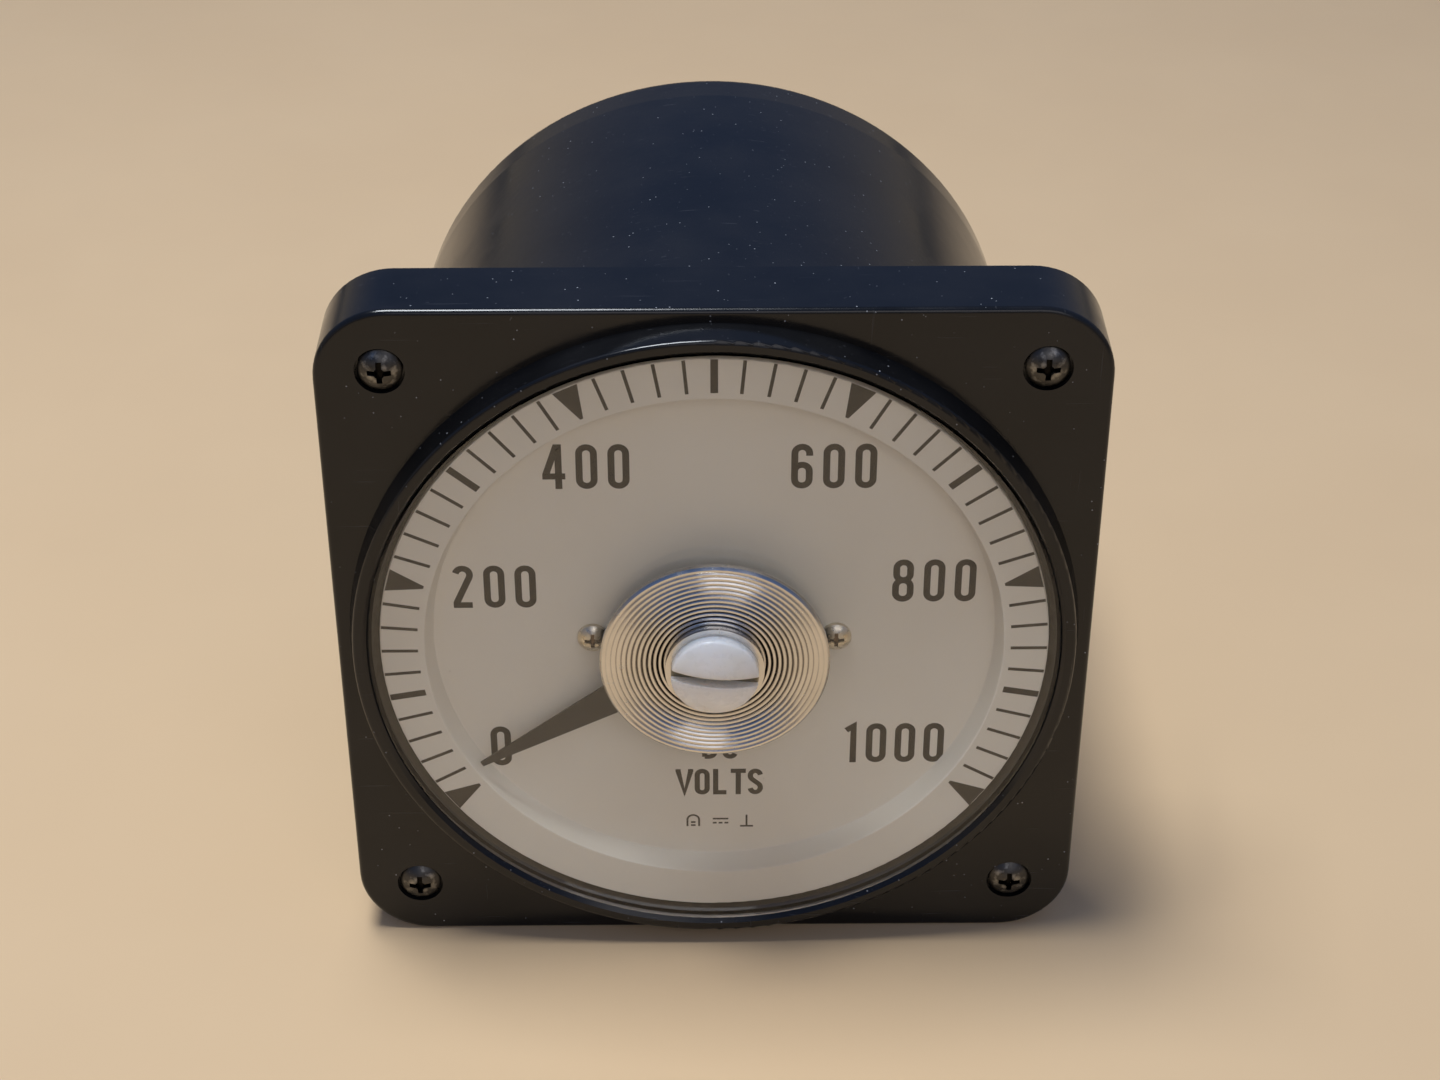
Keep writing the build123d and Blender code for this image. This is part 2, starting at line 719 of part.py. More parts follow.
# Pillars riveted into the movement plate.
with BuildPart() as support_pillars:
    with BuildSketch(facing(plate_front)):
        with Locations(*pillar_points):
            Circle(pillar_r)
    extrude(amount=plate_front - support_rear)
    with BuildSketch(facing(dial_rear + pillar_screw_length)):
        with Locations(*pillar_points):
            Circle(frame_screw_r)
    extrude(amount=dial_rear + pillar_screw_length - support_rear, mode=Mode.SUBTRACT)
support_pillars.part.label = "support_pillars"
export_step(support_pillars.part, "parts/support_pillars.step")

# The movement plate carries the whole movement on the case's three ribs.
boss_points = [at_angle(boss_circle_r, n * 360 / boss_count) for n in range(boss_count)]
pole_screw_points = [at_angle(pole_screw_circle_r, angle) for angle in pole_screw_angles]
with BuildPart() as movement_plate:
    with BuildSketch(facing(plate_rear)):
        Circle(plate_r)
        Circle(jewel_screw_r, mode=Mode.SUBTRACT)
        with Locations(*boss_points):
            Circle(movement_screw_r + screw_hole_gap, mode=Mode.SUBTRACT)
        with Locations(*pole_screw_points):
            Circle(frame_screw_r, mode=Mode.SUBTRACT)
    extrude(amount=plate_thickness)
movement_plate.part.label = "movement_plate"
export_step(movement_plate.part, "parts/movement_plate.step")

# Three screws hold the movement plate in the case.
with BuildPart() as movement_screws:
    with Locations(*[(x, plate_front, z) for x, z in boss_points]):
        add(plain_screw(frame_head_r + 0.4, frame_head_height, movement_screw_r,
                        plate_thickness + movement_screw_length - 1.0))
movement_screws.part.label = "movement_screws"
export_step(movement_screws.part, "parts/movement_screws.step")

# The pole ring is soft iron: a round pole outside the coil's path and a yoke round the magnet.
with BuildPart() as pole_ring:
    with BuildSketch(facing(core_rear)):
        Circle(pole_outer_r)
        with Locations((0, -(yoke_end + core_outer_r) / 2)):
            Rectangle(2 * yoke_half_width, yoke_end - core_outer_r)
        with Locations((0, -(magnet_end + core_outer_r) / 2)):
            Rectangle(2 * yoke_half_width - 2 * yoke_side_wall, magnet_end - core_outer_r, mode=Mode.SUBTRACT)
        Circle(pole_inner_r, mode=Mode.SUBTRACT)
        with Locations(*pole_screw_points):
            Circle(frame_screw_r, mode=Mode.SUBTRACT)
        with Locations((0, -magnet_end - yoke_wall / 2)):
            Circle(frame_screw_r, mode=Mode.SUBTRACT)
    extrude(amount=core_thickness)
pole_ring.part.label = "pole_ring"
export_step(pole_ring.part, "parts/pole_ring.step")

# Spacers stand the pole ring off the movement plate.
with BuildPart() as pole_spacers:
    with BuildSketch(facing(plate_front)):
        with Locations(*pole_screw_points):
            Circle(frame_screw_r * 2)
            Circle(frame_screw_r, mode=Mode.SUBTRACT)
    extrude(amount=plate_front - core_rear)
pole_spacers.part.label = "pole_spacers"
export_step(pole_spacers.part, "parts/pole_spacers.step")

# Three long screws pass through the pole ring and its spacers into the movement plate.
with BuildPart() as pole_screws:
    with Locations(*[(x, core_front, z) for x, z in pole_screw_points]):
        add(plain_screw(frame_head_r, frame_head_height, frame_screw_r, plate_rear - core_front))
pole_screws.part.label = "pole_screws"
export_step(pole_screws.part, "parts/pole_screws.step")

# The magnet is a block between the core's pad and the yoke, where the coil never comes.
with BuildPart() as magnet:
    with BuildSketch(facing(core_rear)):
        with Locations((0, -(core_pad_end + magnet_end) / 2)):
            Rectangle(magnet_width, magnet_length)
    extrude(amount=core_thickness)
magnet.part.label = "magnet"
export_step(magnet.part, "parts/magnet.step")

# The core is a soft iron ring that runs through the coil. A slit lets the coil be threaded on.
with BuildPart() as core_ring:
    with BuildSketch(facing(core_rear)):
        Circle(core_outer_r)
        with Locations((0, -(core_pad_end + core_inner_r) / 2)):
            Rectangle(core_pad_width, core_pad_end - core_inner_r)
        Circle(core_inner_r, mode=Mode.SUBTRACT)
        middle = at_angle((core_inner_r + core_outer_r) / 2, core_slit_angle)
        with Locations(Pos(*middle) * Rot(0, 0, -core_slit_angle)):
            Rectangle(core_slit, core_outer_r - core_inner_r + 2, mode=Mode.SUBTRACT)
        with Locations((0, -(core_pad_end + core_inner_r) / 2)):
            Circle(frame_screw_r, mode=Mode.SUBTRACT)
    extrude(amount=core_thickness)
core_ring.part.label = "core_ring"
export_step(core_ring.part, "parts/core_ring.step")

# The front bridge reaches over the pointer's root from the only side it never sweeps,
# and its long foot clamps the core, the magnet and the yoke together.
clamp_screw_reach = ((core_pad_end + core_inner_r) / 2, magnet_end + yoke_wall / 2)
clamp_points = [(0, -reach) for reach in clamp_screw_reach]
bridge_rear = bridge_front + bridge_thickness
leg_outer_r = bridge_leg_r + bridge_thickness
with BuildPart() as front_bridge:
    with BuildSketch(side_on(180)):
        with BuildLine():
            Polyline((0, bridge_front), (leg_outer_r, bridge_front), (leg_outer_r, foot_front),
                     (yoke_end, foot_front), (yoke_end, core_front), (bridge_leg_r, core_front),
                     (bridge_leg_r, bridge_rear), (0, bridge_rear), close=True)
        make_face()
    extrude(amount=bridge_width / 2, both=True)
    with BuildSketch(facing(bridge_rear)):
        Circle(bridge_width / 2)
    extrude(amount=bridge_thickness)
    with BuildSketch(facing(bridge_rear)):
        Circle(jewel_screw_r)
    extrude(amount=bridge_thickness, mode=Mode.SUBTRACT)
    with BuildSketch(facing(core_front)):
        with Locations(*clamp_points):
            Circle(frame_screw_r)
    extrude(amount=bridge_thickness, mode=Mode.SUBTRACT)
front_bridge.part.label = "front_bridge"
export_step(front_bridge.part, "parts/front_bridge.step")

# A flat brass clamp holds the same stack from behind.
with BuildPart() as rear_clamp:
    with BuildSketch(facing(core_rear + bridge_thickness)):
        with Locations((0, -(yoke_end + leg_outer_r) / 2)):
            Rectangle(bridge_width, yoke_end - leg_outer_r)
        with Locations(*clamp_points):
            Circle(frame_screw_r, mode=Mode.SUBTRACT)
    extrude(amount=bridge_thickness)
rear_clamp.part.label = "rear_clamp"
export_step(rear_clamp.part, "parts/rear_clamp.step")

# Two screws draw the bridge's foot and the rear clamp together.
with BuildPart() as clamp_screws:
    with Locations(*[(x, foot_front, z) for x, z in clamp_points]):
        add(plain_screw(frame_head_r, frame_head_height, frame_screw_r, core_thickness + 2 * bridge_thickness))
clamp_screws.part.label = "clamp_screws"
export_step(clamp_screws.part, "parts/clamp_screws.step")

# The coil is a rectangular loop threaded on the core: an aluminium former with its winding outside.
coil_inner_r = core_inner_r - coil_clearance - former_thickness - winding_thickness
coil_outer_r = core_outer_r + coil_clearance + former_thickness + winding_thickness
coil_middle = ((coil_inner_r + coil_outer_r) / 2, (coil_front + coil_rear) / 2)
coil_size = (coil_outer_r - coil_inner_r, coil_rear - coil_front)


def coil_loop(inset, thickness, width):
    """One layer of the coil, a closed loop in the plane of the movement's axis."""
    with BuildPart() as loop:
        with BuildSketch(side_on(rest_angle)):
            with Locations(coil_middle):
                RectangleRounded(coil_size[0] - 2 * inset, coil_size[1] - 2 * inset, 1.6 - inset)
                inner = inset + thickness
                Rectangle(coil_size[0] - 2 * inner, coil_size[1] - 2 * inner, mode=Mode.SUBTRACT)
        extrude(amount=width / 2, both=True)
    return loop.part


with BuildPart() as coil_winding:
    with BuildSketch(side_on(rest_angle)):
        with Locations(coil_middle):
            RectangleRounded(coil_size[0], coil_size[1], 1.6)
            RectangleRounded(coil_size[0] - 2 * winding_thickness, coil_size[1] - 2 * winding_thickness, 0.8,
                             mode=Mode.SUBTRACT)
    extrude(amount=winding_width / 2, both=True)
coil_winding.part.label = "coil_winding"
export_step(coil_winding.part, "parts/coil_winding.step")

with BuildPart() as coil_former:
    add(coil_loop(winding_thickness, former_thickness, former_width))
coil_former.part.label = "coil_former"
export_step(coil_former.part, "parts/coil_former.step")

# Staffs cemented to the coil's two ends turn in jewels.
with BuildPart() as front_staff:
    add(staff(coil_front, -1))
front_staff.part.label = "front_staff"
export_step(front_staff.part, "parts/front_staff.step")

with BuildPart() as rear_staff:
    add(staff(coil_rear, 1))
rear_staff.part.label = "rear_staff"
export_step(rear_staff.part, "parts/rear_staff.step")

# The pointer is a flat lance of thin aluminium. It leaves the staff behind the bridge and
# rises through the dial's centre hole to the level of the scale.
pointer_rear = pointer_front + pointer_thickness
root_front = pointer_root_rear - pointer_thickness
riser_end_r = pointer_riser_r + pointer_riser_run
with BuildPart() as pointer:
    with BuildSketch(side_on(rest_angle)):
        with BuildLine():
            Polyline((-pointer_root_r, root_front), (pointer_riser_r, root_front),
                     (riser_end_r, pointer_front), (pointer_length, pointer_front),
                     (pointer_length, pointer_rear), (riser_end_r + pointer_thickness, pointer_rear),
                     (pointer_riser_r + pointer_thickness, pointer_root_rear),
                     (-pointer_root_r, pointer_root_rear), close=True)
        make_face()
    extrude(amount=pointer_base_width, both=True)
    with BuildSketch(facing_along(pointer_root_rear + 1, rest_angle)):
        Circle(pointer_root_r)
        with BuildLine():
            Polyline((-pointer_arm_width / 2, 0), (-pointer_arm_width / 2, pointer_riser_r - 0.5),
                     (-pointer_base_width / 2, riser_end_r), (-pointer_tip_width / 2, pointer_length),
                     (pointer_tip_width / 2, pointer_length), (pointer_base_width / 2, riser_end_r),
                     (pointer_arm_width / 2, pointer_riser_r - 0.5), (pointer_arm_width / 2, 0), close=True)
        make_face()
        Circle(staff_r, mode=Mode.SUBTRACT)
    extrude(amount=pointer_root_rear - pointer_front + 2, mode=Mode.INTERSECT)
pointer.part.label = "pointer"
export_step(pointer.part, "parts/pointer.step")

# Two brass weights opposite the coil balance all that turns, so their length is worked out from it.
def outward_moment(solid, density):
    """Mass times distance from the axis towards the pointer's tip, in gram millimetres."""
    centre = solid.center(CenterOf.MASS)
    outward = centre.X * sin(radians(rest_angle)) + centre.Z * cos(radians(rest_angle))
    return solid.volume * density * outward


moment = outward_moment(coil_winding.part, brass_density)
moment += outward_moment(coil_former.part, aluminium_density)
moment += outward_moment(pointer.part, aluminium_density)
moment += outward_moment(front_staff.part, aluminium_density)
moment += outward_moment(rear_staff.part, aluminium_density)
weight_length = moment / (2 * pi * weight_r**2 * brass_density * weight_circle_r)
with BuildPart() as balance_weights:
    for start, end in ((coil_front, coil_front + weight_length), (coil_rear - weight_length, coil_rear)):
        with BuildSketch(facing(end)):
            with Locations(at_angle(weight_circle_r, rest_angle + 180)):
                Circle(weight_r)
        extrude(amount=end - start)
balance_weights.part.label = "balance_weights"
export_step(balance_weights.part, "parts/balance_weights.step")

# Jewel screws, their lock nuts and the sapphire cups in them.
front_screw_length = 2.5
rear_screw_length = 5.0
with BuildPart() as front_jewel_screw:
    add(jewel_screw(coil_front, -1, front_screw_length))
front_jewel_screw.part.label = "front_jewel_screw"
export_step(front_jewel_screw.part, "parts/front_jewel_screw.step")

with BuildPart() as rear_jewel_screw:
    add(jewel_screw(coil_rear, 1, rear_screw_length))
rear_jewel_screw.part.label = "rear_jewel_screw"
export_step(rear_jewel_screw.part, "parts/rear_jewel_screw.step")

with BuildPart() as jewels:
    add(jewel(coil_front, -1))
    add(jewel(coil_rear, 1))
jewels.part.label = "jewels"
export_step(jewels.part, "parts/jewels.step")

arm_front = arm_rear - arm_thickness
lock_nut_flats = 4.4
lock_nut_height = 0.7
with BuildPart() as jewel_lock_nuts:
    with Locations((0, arm_front - running_gap - lock_nut_height, 0), (0, plate_rear, 0)):
        add(hexagon_nut(lock_nut_flats, jewel_screw_r, lock_nut_height))
jewel_lock_nuts.part.label = "jewel_lock_nuts"
export_step(jewel_lock_nuts.part, "parts/jewel_lock_nuts.step")

# The zero arm turns on the front jewel screw. Its fork takes the crank's pin, and its tab
# reaches back past the bridge to the outer end of the front hairspring.
spring_outer_r = collet_r + spring_gap + spring_thickness + spring_half_turns * spring_pitch / 2
front_spring_y = coil_front - collet_start - collet_length / 2
rear_spring_y = coil_rear + collet_start + collet_length / 2
tab_width = 1.6
with BuildPart() as zero_arm:
    with BuildSketch(facing(arm_rear)):
        Circle(arm_hub_r)
        with Locations((0, (crank_throw + 1.2) / 2)):
            Rectangle(arm_width, crank_throw + arm_overhang)
        with Locations(((spring_outer_r + 0.5) / 2, 0)):
            Rectangle(spring_outer_r + 0.5, tab_width)
        Circle(jewel_screw_r + running_gap, mode=Mode.SUBTRACT)
        with Locations((0, crank_throw + 0.6)):
            Rectangle(2 * crank_pin_r + 2 * running_gap, arm_width, mode=Mode.SUBTRACT)
    extrude(amount=arm_thickness)
    with BuildSketch(facing(front_spring_y + spring_width / 2)):
        with Locations((spring_outer_r + 0.25, 0)):
            Rectangle(0.5, tab_width)
    extrude(amount=front_spring_y + spring_width / 2 - arm_rear)
zero_arm.part.label = "zero_arm"
export_step(zero_arm.part, "parts/zero_arm.step")

with BuildPart() as front_hairspring:
    add(hairspring(front_spring_y, 90))
front_hairspring.part.label = "front_hairspring"
export_step(front_hairspring.part, "parts/front_hairspring.step")

with BuildPart() as rear_hairspring:
    add(hairspring(rear_spring_y, 90))
rear_hairspring.part.label = "rear_hairspring"
export_step(rear_hairspring.part, "parts/rear_hairspring.step")

# The rear hairspring's outer end is fixed to an anchor on the movement plate.
anchor_reach = 7.0
with BuildPart() as rear_spring_anchor:
    with BuildSketch(facing(plate_front)):
        with Locations((spring_outer_r + 0.25, 0)):
            Rectangle(0.5, tab_width)
    extrude(amount=plate_front - rear_spring_y + spring_width / 2)
    with BuildSketch(facing(plate_front)):
        with Locations((spring_outer_r + anchor_reach / 2, 0)):
            Rectangle(anchor_reach, 2 * tab_width)
    extrude(amount=0.5)
rear_spring_anchor.part.label = "rear_spring_anchor"
export_step(rear_spring_anchor.part, "parts/rear_spring_anchor.step")

# Two pins on the movement plate stop the coil at the ends of its travel.
stop_lead = degrees(asin((former_width / 2 + stop_r + stop_gap) / stop_circle_r))
stop_angles = (rest_angle - swing_back - stop_lead, rest_angle + swing_on + stop_lead)
with BuildPart() as travel_stops:
    with BuildSketch(facing(plate_front)):
        with Locations(*[at_angle(stop_circle_r, angle) for angle in stop_angles]):
            Circle(stop_r)
    extrude(amount=plate_front - core_rear - 0.6)
travel_stops.part.label = "travel_stops"
export_step(travel_stops.part, "parts/travel_stops.step")

# The series resistors drop the measured voltage. They lie on a laminate board.
resistor_rows = [(n - (resistor_count - 1) / 2) * resistor_pitch for n in range(resistor_count)]
lead_x = resistor_length / 2 + resistor_lead_reach
with BuildPart() as resistor_board:
    with BuildSketch(facing(board_y + board_thickness)):
        RectangleRounded(board_width, board_height, 2.0)
        with Locations(*board_points):
            Circle(frame_screw_r + screw_hole_gap, mode=Mode.SUBTRACT)
        with Locations(*[(x, z) for x in (-lead_x, lead_x) for z in resistor_rows]):
            Circle(resistor_lead_r + running_gap, mode=Mode.SUBTRACT)
    extrude(amount=board_thickness)
resistor_board.part.label = "resistor_board"
export_step(resistor_board.part, "parts/resistor_board.step")

resistor_y = board_y - resistor_stand - resistor_r
with BuildPart() as multiplier_resistors:
    with BuildSketch(Plane.YZ.offset(-resistor_length / 2)):
        with Locations(*[(resistor_y, z) for z in resistor_rows]):
            Circle(resistor_r)
    extrude(amount=resistor_length)
    fillet(multiplier_resistors.edges(), 0.5)
multiplier_resistors.part.label = "multiplier_resistors"
export_step(multiplier_resistors.part, "parts/multiplier_resistors.step")

with BuildPart() as resistor_leads:
    for z in resistor_rows:
        for side in (-1, 1):
            add(wire(resistor_lead_r, (side * resistor_length / 2, resistor_y, z), (side * lead_x, resistor_y, z),
                     (side * lead_x, board_y + board_thickness + 1.2, z)))
resistor_leads.part.label = "resistor_leads"
export_step(resistor_leads.part, "parts/resistor_leads.step")

with BuildPart() as board_screws:
    with Locations(*[(x, board_y, z) for x, z in board_points]):
        add(plain_screw(frame_head_r, frame_head_height, frame_screw_r, board_thickness + 7.0))
board_screws.part.label = "board_screws"
export_step(board_screws.part, "parts/board_screws.step")

# Two threaded terminal studs pass through the rear wall, each with a lug inside and a nut outside.
terminal_places = (-terminal_spacing / 2, terminal_spacing / 2)
lug_front = rear_wall_front - lug_thickness
nut_rear = barrel_length + terminal_washer_thickness + terminal_nut_height
terminal_end = barrel_length + terminal_length
with BuildPart() as terminal_studs:
    with BuildSketch(facing(lug_front)):
        with Locations(*[(x, 0) for x in terminal_places]):
            Rectangle(terminal_head_side, terminal_head_side)
    extrude(amount=terminal_head_height)
    with Locations(*[(x, 0, 0) for x in terminal_places]):
        add(turned((0, lug_front), (terminal_neck_r, lug_front), (terminal_neck_r, nut_rear),
                   (terminal_r, nut_rear), (terminal_r, terminal_end - terminal_point),
                   (terminal_r - terminal_point, terminal_end), (0, terminal_end)))
terminal_studs.part.label = "terminal_studs"
export_step(terminal_studs.part, "parts/terminal_studs.step")

lug_tail = 11.0
with BuildPart() as solder_lugs:
    with BuildSketch(facing(rear_wall_front)):
        with Locations(*[(x, 0) for x in terminal_places]):
            Circle(5.5)
        with Locations(*[(x, -lug_tail / 2) for x in terminal_places]):
            Rectangle(4.0, lug_tail)
        with Locations(*[(x, 0) for x in terminal_places]):
            Circle(terminal_neck_r, mode=Mode.SUBTRACT)
    extrude(amount=lug_thickness)
solder_lugs.part.label = "solder_lugs"
export_step(solder_lugs.part, "parts/solder_lugs.step")

with BuildPart() as terminal_washers:
    with BuildSketch(facing(barrel_length + terminal_washer_thickness)):
        with Locations(*[(x, 0) for x in terminal_places]):
            Circle(terminal_washer_r)
            Circle(terminal_neck_r, mode=Mode.SUBTRACT)
    extrude(amount=terminal_washer_thickness)
terminal_washers.part.label = "terminal_washers"
export_step(terminal_washers.part, "parts/terminal_washers.step")

with BuildPart() as terminal_nuts:
    with Locations(*[(x, barrel_length + terminal_washer_thickness, 0) for x in terminal_places]):
        add(hexagon_nut(terminal_nut_flats, terminal_neck_r, terminal_nut_height))
terminal_nuts.part.label = "terminal_nuts"
export_step(terminal_nuts.part, "parts/terminal_nuts.step")

# Three insulated leads: positive lug to board, board to rear spring, negative lug to the frame.
right, left = terminal_places[1], terminal_places[0]
tail_y = lug_front - lead_r
low_row = resistor_rows[0]
high_row = resistor_rows[-1]
board_rear = board_y + board_thickness
with BuildPart() as hookup_leads:
    add(wire(lead_r, (right, tail_y, -9.5), (right, tail_y - 8, -9.5), (lead_x + 3, board_rear + 9, low_row),
             (lead_x + 1.2, board_rear + 0.8, low_row)))
    add(wire(lead_r, (12.0, board_y - 0.1, high_row + 4.5), (12.0, board_y - 9, high_row + 4.5),
             (10.5, plate_rear + 12, 6.0), (10.0, plate_rear + 0.1, 4.0)))
    add(wire(lead_r, (left, tail_y, -9.5), (left - 2, tail_y - 8, -12.0), (left - 7, board_rear + 8, -24.0),
             (left - 7, board_y - 8, -24.0), (left - 5, plate_rear + 10, -14.0), (left - 5, plate_rear + 0.1, -12.0)))
hookup_leads.part.label = "hookup_leads"
export_step(hookup_leads.part, "parts/hookup_leads.step")
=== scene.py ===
# A square-faced voltmeter for a panel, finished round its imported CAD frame.
# Metres throughout. The dial faces -Y, +Z is up and +X is to the reader's right.
from math import cos, pi, radians, sin, tan

import bmesh
import bpy
from mathutils import Matrix, Vector


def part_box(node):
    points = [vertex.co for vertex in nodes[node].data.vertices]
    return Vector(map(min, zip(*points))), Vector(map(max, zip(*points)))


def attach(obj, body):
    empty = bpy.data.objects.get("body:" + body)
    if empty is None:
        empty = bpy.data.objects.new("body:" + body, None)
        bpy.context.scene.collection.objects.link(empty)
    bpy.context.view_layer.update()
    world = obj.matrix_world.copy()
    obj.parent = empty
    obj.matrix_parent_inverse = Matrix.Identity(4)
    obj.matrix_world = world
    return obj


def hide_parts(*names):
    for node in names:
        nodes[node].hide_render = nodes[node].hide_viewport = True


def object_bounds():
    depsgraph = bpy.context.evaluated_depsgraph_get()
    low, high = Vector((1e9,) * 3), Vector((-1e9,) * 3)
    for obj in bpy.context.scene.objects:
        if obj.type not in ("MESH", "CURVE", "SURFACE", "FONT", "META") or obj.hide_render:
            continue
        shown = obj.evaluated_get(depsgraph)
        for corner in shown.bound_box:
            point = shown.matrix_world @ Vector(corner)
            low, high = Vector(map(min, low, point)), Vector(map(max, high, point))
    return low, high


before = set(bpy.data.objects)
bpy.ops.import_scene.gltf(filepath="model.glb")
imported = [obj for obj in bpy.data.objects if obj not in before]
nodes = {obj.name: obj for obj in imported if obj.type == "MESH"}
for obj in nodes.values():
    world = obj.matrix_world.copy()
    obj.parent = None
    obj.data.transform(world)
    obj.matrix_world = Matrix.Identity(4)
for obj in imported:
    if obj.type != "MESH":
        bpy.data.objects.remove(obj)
cad_lowest, cad_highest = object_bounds()
mm = 0.001

# ---- Camera ----
# A long lens above the instrument, on the reader's side. It looks down at the dial, and a very
# little to the right.
camera_place = Vector((-2.1, -332.6, 229.2)) * mm
camera_lens = 67.145
camera_sensor = 36.0
look_down = radians(33.46)
turned_right = radians(0.52)
camera = bpy.data.objects.new("reader_camera", bpy.data.cameras.new("reader_camera"))
camera.data.lens = camera_lens
camera.data.sensor_width = camera_sensor
camera.location = camera_place
camera.rotation_euler = (pi / 2 - look_down, 0.0, -turned_right)
bpy.context.scene.collection.objects.link(camera)
bpy.context.scene.camera = camera
bpy.context.scene.view_settings.view_transform = "Standard"

# ---- Floor and light ----
# The instrument stands on a plain, pale, warm card. One broad cool lamp hangs overhead, a weak
# warm one is in front, and the room round them is dim.


def add_node(tree, kind, inputs=None, **settings):
    """One new node in a tree: its settings, then a value or a link for each input that is named."""
    made = tree.nodes.new(kind)
    for setting, value in settings.items():
        setattr(made, setting, value)
    for socket, value in (inputs or {}).items():
        if isinstance(value, bpy.types.NodeSocket):
            tree.links.new(value, made.inputs[socket])
        else:
            made.inputs[socket].default_value = value
    return made


class Finish:
    """A surface finish: one shader whose colour, roughness and relief come from textures on the piece."""

    def __init__(self, name, shader_values):
        self.material = bpy.data.materials.new(name)
        self.material.use_nodes = True
        self.tree = self.material.node_tree
        self.shader = self.tree.nodes["Principled BSDF"]
        self.whole_place = add_node(self.tree, "ShaderNodeTexCoord").outputs["Object"]
        self.place = self.whole_place
        for socket, value in shader_values.items():
            self.shader.inputs[socket].default_value = value

    def fold(self, half_x, half_z):
        """Centres the textures on each of the pieces that stand at plus and minus these distances."""
        folded = self.vector("ABSOLUTE", self.place)
        self.place = self.vector("SUBTRACT", folded, (half_x, 0.0, half_z))

    def vector(self, operation, one, other=(0.0, 0.0, 0.0), result="Vector"):
        """One step of arithmetic with vectors."""
        step = add_node(self.tree, "ShaderNodeVectorMath", {0: one, 1: other}, operation=operation)
        return step.outputs[result]

    def noise(self, size, detail=3.0, stretch=(1.0, 1.0, 1.0)):
        """Cloudy noise whose blots are about as large as size."""
        stretched = add_node(self.tree, "ShaderNodeMapping", {"Vector": self.place, "Scale": stretch})
        cloud = add_node(self.tree, "ShaderNodeTexNoise",
                         {"Vector": stretched.outputs["Vector"], "Scale": 1.0 / size, "Detail": detail})
        return cloud.outputs["Fac"]

    def specks(self, spacing, reach):
        """1 on small specks, about one in each spacing, and 0 between them."""
        cells = add_node(self.tree, "ShaderNodeTexVoronoi", {"Vector": self.place, "Scale": 1.0 / spacing})
        return self.level(cells.outputs["Distance"], reach, reach * 0.6)

    def wave(self, spacing, distortion, **settings):
        """Lines, bands or rings that repeat in each spacing."""
        waves_in_one = 0.31
        marks = add_node(self.tree, "ShaderNodeTexWave", {
            "Vector": self.place, "Scale": waves_in_one / spacing, "Distortion": distortion}, **settings)
        return marks.outputs["Fac"]

    def level(self, source, low, high, to_low=0.0, to_high=1.0):
        """The source's values from low to high, stretched to run from to_low to to_high."""
        spread = add_node(self.tree, "ShaderNodeMapRange", {
            "Value": source, "From Min": low, "From Max": high, "To Min": to_low, "To Max": to_high})
        return spread.outputs["Result"]

    def times(self, one, other):
        """The product of two shares."""
        return add_node(self.tree, "ShaderNodeMath", {0: one, 1: other}, operation="MULTIPLY").outputs[0]

    def from_axis(self):
        """The distance from the Y axis."""
        flat = self.vector("MULTIPLY", self.place, (1.0, 0.0, 1.0))
        return self.vector("LENGTH", flat, result="Value")

    def depth(self):
        """How far back a point is: its Y."""
        return add_node(self.tree, "ShaderNodeSeparateXYZ", {0: self.whole_place}).outputs["Y"]

    def recess_shade_mask(self, top_y, reach, below):
        """1 inside a recess, the mask for painted shade: closer to the axis than reach, and deeper than below
        under the top.
        """
        return self.times(self.level(self.from_axis(), reach, reach * 0.9),
                          self.level(self.depth(), top_y + below, top_y + below * 1.6))

    def colour(self, share, under, over):
        """Lays colour over on colour under, by share. Either may be the result of another call."""
        blend = add_node(self.tree, "ShaderNodeMix", {"Factor": share}, data_type="RGBA")
        for socket, value in ((6, under), (7, over)):
            if isinstance(value, bpy.types.NodeSocket):
                self.tree.links.new(value, blend.inputs[socket])
            else:
                blend.inputs[socket].default_value = (*value, 1.0)
        self.tree.links.new(blend.outputs[2], self.shader.inputs["Base Color"])
        return blend.outputs[2]

    def mottled(self, size, under, over, low=0.3, high=0.7, detail=3.0):
        """Two colours in blots about as large as size. The second shows where the noise is near high."""
        return self.colour(self.level(self.noise(size, detail), low, high), under, over)

    def rough(self, source, least, most, low=0.3, high=0.7):
        """Roughness from least to most, where the source runs from low to high."""
        self.tree.links.new(self.level(source, low, high, least, most), self.shader.inputs["Roughness"])

    def relief(self, height, depth, strength=1.0):
        """Raises and lowers the surface by a texture, on top of any relief that it has."""
        bump = add_node(self.tree, "ShaderNodeBump", {
            "Height": height, "Distance": depth, "Strength": strength})
        before = self.shader.inputs["Normal"]
        if before.is_linked:
            self.tree.links.new(before.links[0].from_socket, bump.inputs["Normal"])
        self.tree.links.new(bump.outputs["Normal"], before)

    def on(self, *names):
        """Gives this finish to CAD nodes."""
        for name in names:
            nodes[name].material_slots[0].material = self.material


floor_reach = 6.0
floor_z = cad_lowest.z
floor_corners = [(-floor_reach, -floor_reach), (floor_reach, -floor_reach),
                 (floor_reach, floor_reach), (-floor_reach, floor_reach)]
floor_mesh = bpy.data.meshes.new("floor")
floor_mesh.from_pydata([(x, y, floor_z) for x, y in floor_corners], [], [(0, 1, 2, 3)])
floor = bpy.data.objects.new("floor", floor_mesh)
bpy.context.scene.collection.objects.link(floor)
floor_card = Finish("floor_card", {"Specular IOR Level": 0.2})
floor_card.mottled(60 * mm, (0.745, 0.523, 0.305), (0.76, 0.537, 0.315), 0.35, 0.65)
floor_card.rough(floor_card.noise(9 * mm), 0.62, 0.8)
floor_mesh.materials.append(floor_card.material)


